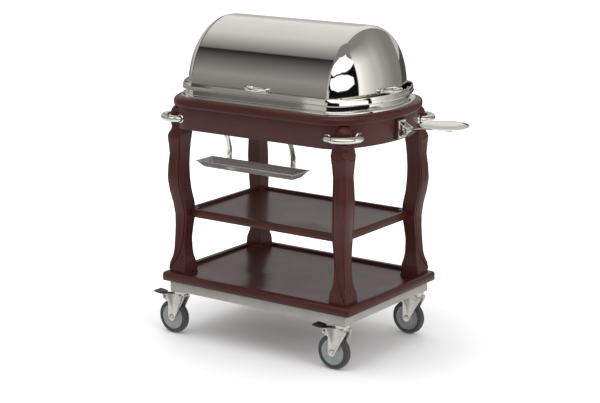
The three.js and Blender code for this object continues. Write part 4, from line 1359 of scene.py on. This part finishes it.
@dataclass(frozen=True)
class DropTray:
    """A flared tray with a rolled lip, on two flat straps."""

    half_x: float = 215.0
    half_y: float = 50.0
    y: float = -272.0
    rim: float = 685.0
    depth: float = 24.0
    flare: float = 18.0
    lip: float = 6.0
    sheet: float = 1.5

    def tray(self) -> Solid:
        """Builds the tray's shell as one closed profile.

        Returns:
            The tray.
        """
        floor = self.rim - self.depth
        foot = self.flare + self.lip
        profile = [
            (foot + 3, floor), (foot, floor + 0.6), (foot - 1.6, floor + 2.4), (self.lip + 1, self.rim - 3.4),
            (self.lip - 1.4, self.rim - 1.8), (1.2, self.rim - 1.8), (0, self.rim - 1.2), (0, self.rim - 0.2),
            (1.2, self.rim), (self.lip, self.rim), (self.lip + 2.4, self.rim - 2.4),
            (foot, floor + 3.2), (foot + 2, floor + self.sheet + 0.2), (foot + 5, floor + self.sheet),
        ]
        return BoxOutline(self.half_x, self.half_y, 8, 0, self.y).loft("drop_tray_flared", profile)

    def build(self) -> None:
        """Builds and finishes the tray and its straps."""
        fit(self.tray(), BUFFED, TROLLEY, "drop_tray")
        for side in ("left", "right"):
            eased(f"strap_{side}", f"tray_strap_{side}", POLISHED, TROLLEY, 0.5, angle=40)


@dataclass(frozen=True)
class PlateHolder:
    """A round dish on an arm that folds down from a block on the right end."""

    x: float = 608.0
    radius: float = 84.0
    z: float = 836.0
    depth: float = 13.0
    sheet: float = 2.0

    def bowl(self, radius: float) -> float:
        """Returns the height of the dish's underside at a radius."""
        return self.z + (self.depth - self.sheet - 3.0) * (radius / (self.radius - 7)) ** 2.2

    def dish(self) -> Solid:
        """Spins the dish with a rolled lip.

        Returns:
            The dish.
        """
        r, rim = self.radius, self.z + self.depth
        steps = 14
        under = [(max((r - 7) * i / steps, 0.001), self.bowl((r - 7) * i / steps)) for i in range(steps + 1)]
        above = [(a, z + self.sheet) for a, z in reversed(under)]
        lip = [(r - 3, rim - 3.4), (r - 0.6, rim - 2.4), (r, rim - 1.2), (r - 0.6, rim - 0.2), (r - 2, rim),
               (r - 4.4, rim - 0.8)]
        profile = [*under, *lip, *above]
        return turned("dish", profile, (self.x, 0, 0), UPWARDS, 96)

    def build(self) -> None:
        """Builds and finishes the holder's pieces."""
        fit(self.dish(), POLISHED, "plate_holder", "plate_dish")
        for piece, finish, body, width, segments in (
                ("arm", POLISHED, "plate_holder", 0.8, 2), ("pin", POLISHED, TROLLEY, 0.5, 2),
                ("bracket", POLISHED, TROLLEY, 0.6, 2), ("block", WOOD_Z, TROLLEY, 1.5, 3)):
            eased(f"holder_{piece}", f"plate_holder_{piece}", finish, body, width, segments)


# ---- Studio ----
@dataclass(frozen=True)
class Window:
    """A bright window that the dome mirrors, with its edges as azimuths and heights in degrees."""

    sill: Profile
    head: Profile
    left: float
    right: float
    soft: float


UPPER_WINDOW = Window(
    sill=((-130, 34), (-100, 33), (-75, 31.5), (-43, 29.5), (-11, 20), (0, 16.2), (6, 16.2), (12, 18.4),
          (17, 21)),
    head=((-130, 42), (-118, 48), (-100, 55), (-80, 61), (-57, 61), (-28, 54), (-6, 46), (1, 38), (8, 30),
          (17, 22.5)),
    left=-126.0, right=16.0, soft=1.0)
LOWER_WINDOW = Window(
    sill=((-104, 19), (-90, 14), (-72, 10), (-50, 8), (-15, 1.5), (0, 0.2), (5, 1.4), (12, 4.6)),
    head=((-104, 27), (-85, 28.6), (-64, 28.0), (-37, 25.6), (-11, 17.5), (0, 13.8), (6, 12.4), (12, 9.4)),
    left=-104.0, right=11.0, soft=0.8)
WALL_TILTS = (-30.0, 170.0)
WALL_TONES = (
    (0.03, (0.065, 0.062, 0.058)), (0.067, (0.108, 0.102, 0.096)), (0.12, (0.175, 0.165, 0.156)),
    (0.24, (0.268, 0.256, 0.244)), (0.325, (0.165, 0.158, 0.152)), (0.455, (0.014, 0.013, 0.012)),
    (0.466, (0.17, 0.165, 0.155)), (0.56, (0.40, 0.392, 0.37)), (0.64, (0.60, 0.59, 0.56)),
    (0.90, (0.74, 0.73, 0.70)), (0.96, (0.46, 0.452, 0.435)))
FAR_LEFT_TONES = (
    (0.64, (0.05, 0.05, 0.047)), (0.69, (0.05, 0.05, 0.047)), (0.74, (0.46, 0.45, 0.43)),
    (0.90, (0.44, 0.43, 0.41)), (0.98, (0.32, 0.31, 0.29)))
RIGHT_AZIMUTHS = (10.0, 110.0)
RIGHT_TONES = (
    (0.053, (0.005, 0.005, 0.005)), (0.062, (1.0, 0.985, 0.95)), (0.09, (0.97, 0.955, 0.915)),
    (0.14, (0.78, 0.765, 0.72)), (0.21, (0.63, 0.615, 0.58)), (0.28, (0.49, 0.475, 0.445)),
    (0.35, (0.45, 0.437, 0.41)), (0.43, (0.32, 0.31, 0.29)), (0.60, (0.20, 0.193, 0.18)))


@dataclass
class Room(Shader):
    """The surroundings that the steel mirrors, toned by direction; angles are in degrees."""

    window_light: Point = (1.2, 1.2, 1.17)
    ceiling: Point = (0.22, 0.212, 0.20)
    over_window: Point = (0.20, 0.193, 0.18)
    rim_light: Point = (0.46, 0.45, 0.43)
    left_rim: Point = (0.24, 0.235, 0.225)
    jamb_light: Point = (0.55, 0.54, 0.51)
    ground: Point = (0.82, 0.81, 0.79)
    strength: float = 1.15
    barrel_end_x: Span = (-0.5525, -0.5545)
    left_end_x: Span = (-0.630, -0.642)
    behind: float = 88.0
    jamb_x: Span = (-0.558, -0.5535)
    jamb_azimuth: Span = (-111.0, -113.5)
    jamb_rise: Span = (42.0, 30.0)
    ground_z: Span = (-0.22, -0.34)
    ceiling_rise: Span = (18.0, 31.0)
    dark_rise: Span = (6.0, -12.0)
    rim_light_azimuth: Span = (-98.0, -101.0)
    front_azimuth: Span = (15.2, 13.8)

    def grow(self, value: Socket, places: Span) -> Socket:
        """Returns 0 up to the first place and 1 from the second on, and fades between them."""
        return self.spread(value, 0.0, 1.0, *places)

    def degrees(self, operation: str, a: object, b: object = 0.0) -> Socket:
        """Returns an angle of a direction, in degrees."""
        return self.math("DEGREES", self.math(operation, a, b))

    def band(self, value: Socket, low: object, high: object, soft: float) -> Socket:
        """Finds where a value lies between two others.

        Args:
            value: the value.
            low, high: the two others.
            soft: how wide the edges fade.

        Returns:
            1 between them and 0 elsewhere.
        """
        above = self.math("DIVIDE", self.math("SUBTRACT", value, low), soft)
        below = self.math("DIVIDE", self.math("SUBTRACT", high, value), soft)
        return self.spread(self.math("MINIMUM", above, below), 0.0, 1.0, -0.5, 0.5)

    def skyline(self, azimuth: Socket, places: Profile) -> Socket:
        """Reads the height of a window's edge.

        Args:
            azimuth: the direction looked in.
            places: the edge as pairs of azimuth and height.

        Returns:
            The height at that azimuth.
        """
        first, last = places[0][0], places[-1][0]
        stops = [((a - first) / (last - first), (h / 90, h / 90, h / 90)) for a, h in places]
        height = self.ramp(self.grow(azimuth, (first, last)), stops, "CARDINAL")
        return self.times(height, 90.0)

    def opening(self, window: Window, azimuth: Socket, rise: Socket) -> Socket:
        """Finds the directions that lie inside a window.

        Args:
            window: the window.
            azimuth, rise: the direction.

        Returns:
            1 inside it and 0 elsewhere.
        """
        sill, head = self.skyline(azimuth, window.sill), self.skyline(azimuth, window.head)
        return self.times(self.band(rise, sill, head, window.soft),
                          self.band(azimuth, window.left, window.right, 1.5))

    def side(self, azimuth: Socket, rise: Socket) -> Socket:
        """Tones the part that the dome's right end mirrors: dark in front, with two bright windows.

        Args:
            azimuth, rise: the direction.

        Returns:
            The colour.
        """
        right = self.ramp(self.grow(azimuth, RIGHT_AZIMUTHS), RIGHT_TONES)
        right = self.mix(self.grow(rise, self.ceiling_rise), right, self.ceiling)
        dark = self.mix(self.grow(rise, self.dark_rise), (0.003, 0.003, 0.003), (0.010, 0.010, 0.0095))
        rim = self.times(self.grow(azimuth, self.rim_light_azimuth), self.band(rise, -9.0, 9.0, 3.0))
        dark = self.mix(rim, dark, self.rim_light)
        above = self.band(rise, self.skyline(azimuth, UPPER_WINDOW.head), 95.0, 4.0)
        front = self.mix(above, dark, self.over_window)
        seen = self.mix(self.grow(azimuth, self.front_azimuth), right, front)
        upper, lower = (self.opening(window, azimuth, rise) for window in (UPPER_WINDOW, LOWER_WINDOW))
        return self.mix(self.math("MAXIMUM", upper, lower), seen, self.window_light)

    def wall(self, x: Socket, tilt: Socket, rise: Socket) -> Socket:
        """Tones the part that the barrel mirrors, and that of its left end.

        Args:
            x: the direction's share along X.
            tilt: its turn about the barrel's length.
            rise: its height.

        Returns:
            The colour.
        """
        wall = self.ramp(self.grow(tilt, WALL_TILTS), WALL_TONES)
        far_left = self.ramp(self.times(x, -1.0), FAR_LEFT_TONES)
        far_left = self.mix(self.band(rise, -9.0, 7.0, 3.0), far_left, self.left_rim)
        return self.mix(self.grow(x, self.left_end_x), wall, far_left)

    def seen(self) -> Socket:
        """Tones the whole room by direction.

        Returns:
            The colour.
        """
        way = self.read("ShaderNodeTexCoord", "Generated")
        split = self.node("ShaderNodeSeparateXYZ", Vector=way).outputs
        x, y, z = split["X"], split["Y"], split["Z"]
        azimuth, rise = self.degrees("ARCTAN2", y, x), self.degrees("ARCSINE", z)
        wall = self.wall(x, self.degrees("ARCTAN2", z, self.times(y, -1.0)), rise)
        aside = self.math("MAXIMUM", self.grow(x, self.barrel_end_x),
                          self.math("GREATER_THAN", azimuth, self.behind))
        seen = self.mix(aside, self.side(azimuth, rise), wall)
        jamb = self.times(self.grow(x, self.jamb_x), self.grow(azimuth, self.jamb_azimuth),
                          self.grow(rise, self.jamb_rise), 0.8)
        seen = self.mix(jamb, seen, self.jamb_light)
        return self.mix(self.times(self.grow(z, self.ground_z), 0.9), seen, self.ground)

    def lit(self, colour: object, strength: float) -> Socket:
        """Returns light of a colour and strength."""
        return self.read("ShaderNodeBackground", "Background", Color=colour, Strength=strength)

    def paint(self, ambient: float) -> None:
        """Makes the room white to the camera, even to matt surfaces and toned in the steel.

        Args:
            ambient: the light's strength on matt surfaces.
        """
        ray = self.node("ShaderNodeLightPath").outputs
        surface = self.read("ShaderNodeMixShader", 0, Fac=ray["Is Glossy Ray"],
                            i1=self.lit((1.0, 0.99, 0.975), ambient), i2=self.lit(self.seen(), self.strength))
        surface = self.read("ShaderNodeMixShader", 0, Fac=ray["Is Camera Ray"],
                            i1=surface, i2=self.lit((1.0, 1.0, 1.0), 1.0))
        self.node("ShaderNodeOutputWorld", Surface=surface)
        bpy.context.scene.world = self.owner


@dataclass(frozen=True)
class Studio:
    """Camera, soft light, surroundings and a pale floor."""

    lens: float = 100.11
    sensor: float = 36.0
    spot: tuple[float, float, float] = (3428.3, -4750.7, 1920.4)
    right: tuple[float, float, float] = (0.81230, 0.58321, -0.00537)
    up: tuple[float, float, float] = (-0.13301, 0.19421, 0.97190)
    back: tuple[float, float, float] = (0.56787, -0.78876, 0.23533)
    ambient: float = 0.72
    floor_size: float = 40.0
    floor_glow: tuple[float, float, float, float] = (0.03, 0.50, 0.5, 1.7)
    floor_tones: Sequence[tuple[float, Point]] = ((0.3, (0.955, 0.965, 0.975)), (0.7, (0.972, 0.982, 0.992)))

    def camera(self) -> None:
        """Places the camera where the photograph was taken from."""
        data = bpy.data.cameras.new("camera")
        data.lens = self.lens
        data.sensor_width = self.sensor
        camera = linked("camera", data)
        axes = Matrix((self.right, self.up, self.back)).transposed().to_4x4()
        camera.matrix_world = Matrix.Translation(at(*self.spot)) @ axes
        bpy.context.scene.camera = camera

    def floor(self) -> Solid:
        """Lays a pale floor that shows only its soft shadow, and glows to the camera away from it.

        Returns:
            The floor.
        """
        pick()
        bpy.ops.mesh.primitive_grid_add(size=self.floor_size, x_subdivisions=8, y_subdivisions=8)
        floor = labelled("floor")
        shader = Shader.empty(bpy.data.materials.new("pale_floor"))
        away = shader.read("ShaderNodeVectorMath", "Value", _operation="LENGTH", Vector=shader.placed())
        glow = shader.times(shader.read("ShaderNodeLightPath", "Is Camera Ray"),
                            shader.spread(away, *self.floor_glow))
        floor.data.materials.append(shader.principled(
            Base_Color=shader.ramp(shader.noise(3.0, 3.0), self.floor_tones), Roughness=0.9,
            Specular_IOR_Level=0.1, Emission_Color=(1.0, 1.0, 1.0), Emission_Strength=glow))
        floor.visible_glossy = False
        return floor

    def lamp(self, name: str, place: Point, target: Point, size: float, power: float) -> Solid:
        """Hangs a square area light that neither the camera nor the steel sees.

        Args:
            name: the light's name.
            place: where it hangs, in metres.
            target: the point it faces.
            size: its side, in metres.
            power: its power, in watts.

        Returns:
            The light.
        """
        data = bpy.data.lights.new(name, "AREA")
        data.size = size
        data.energy = power
        lamp = linked(name, data)
        lamp.location = place
        lamp.rotation_euler = (Vector(target) - Vector(place)).to_track_quat("-Z", "Y").to_euler()
        lamp.visible_glossy = False
        lamp.visible_camera = False
        return lamp

    def build(self) -> None:
        """Sets up the whole studio."""
        self.camera()
        Room.empty(bpy.data.worlds.new("room")).paint(self.ambient)
        self.floor()
        self.lamp("overhead", (-0.3, -0.4, 4.2), (0, 0, 0.4), 3.6, 90)
        self.lamp("right_side", (4.5, -1.0, 2.6), (0, 0, 0.6), 2.4, 55)
        bpy.context.scene.view_settings.view_transform = "Standard"


def build() -> None:
    """Builds the studio and every sub-assembly in order."""
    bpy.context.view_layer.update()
    Studio().build()
    Carcass().build()
    for corner in Corner:
        Caster(corner).build()
    eased("underframe_eased", "underframe", SATIN, TROLLEY, 1.2, 3)
    Well().build()
    Dome().build()
    CornerRail().build()
    DropTray().build()
    PlateHolder().build()


def main() -> None:
    """Starts the log and builds the scene."""
    logging.basicConfig(level=logging.INFO, format="%(name)s: %(message)s")
    build()


if __name__ == "__main__":
    main()
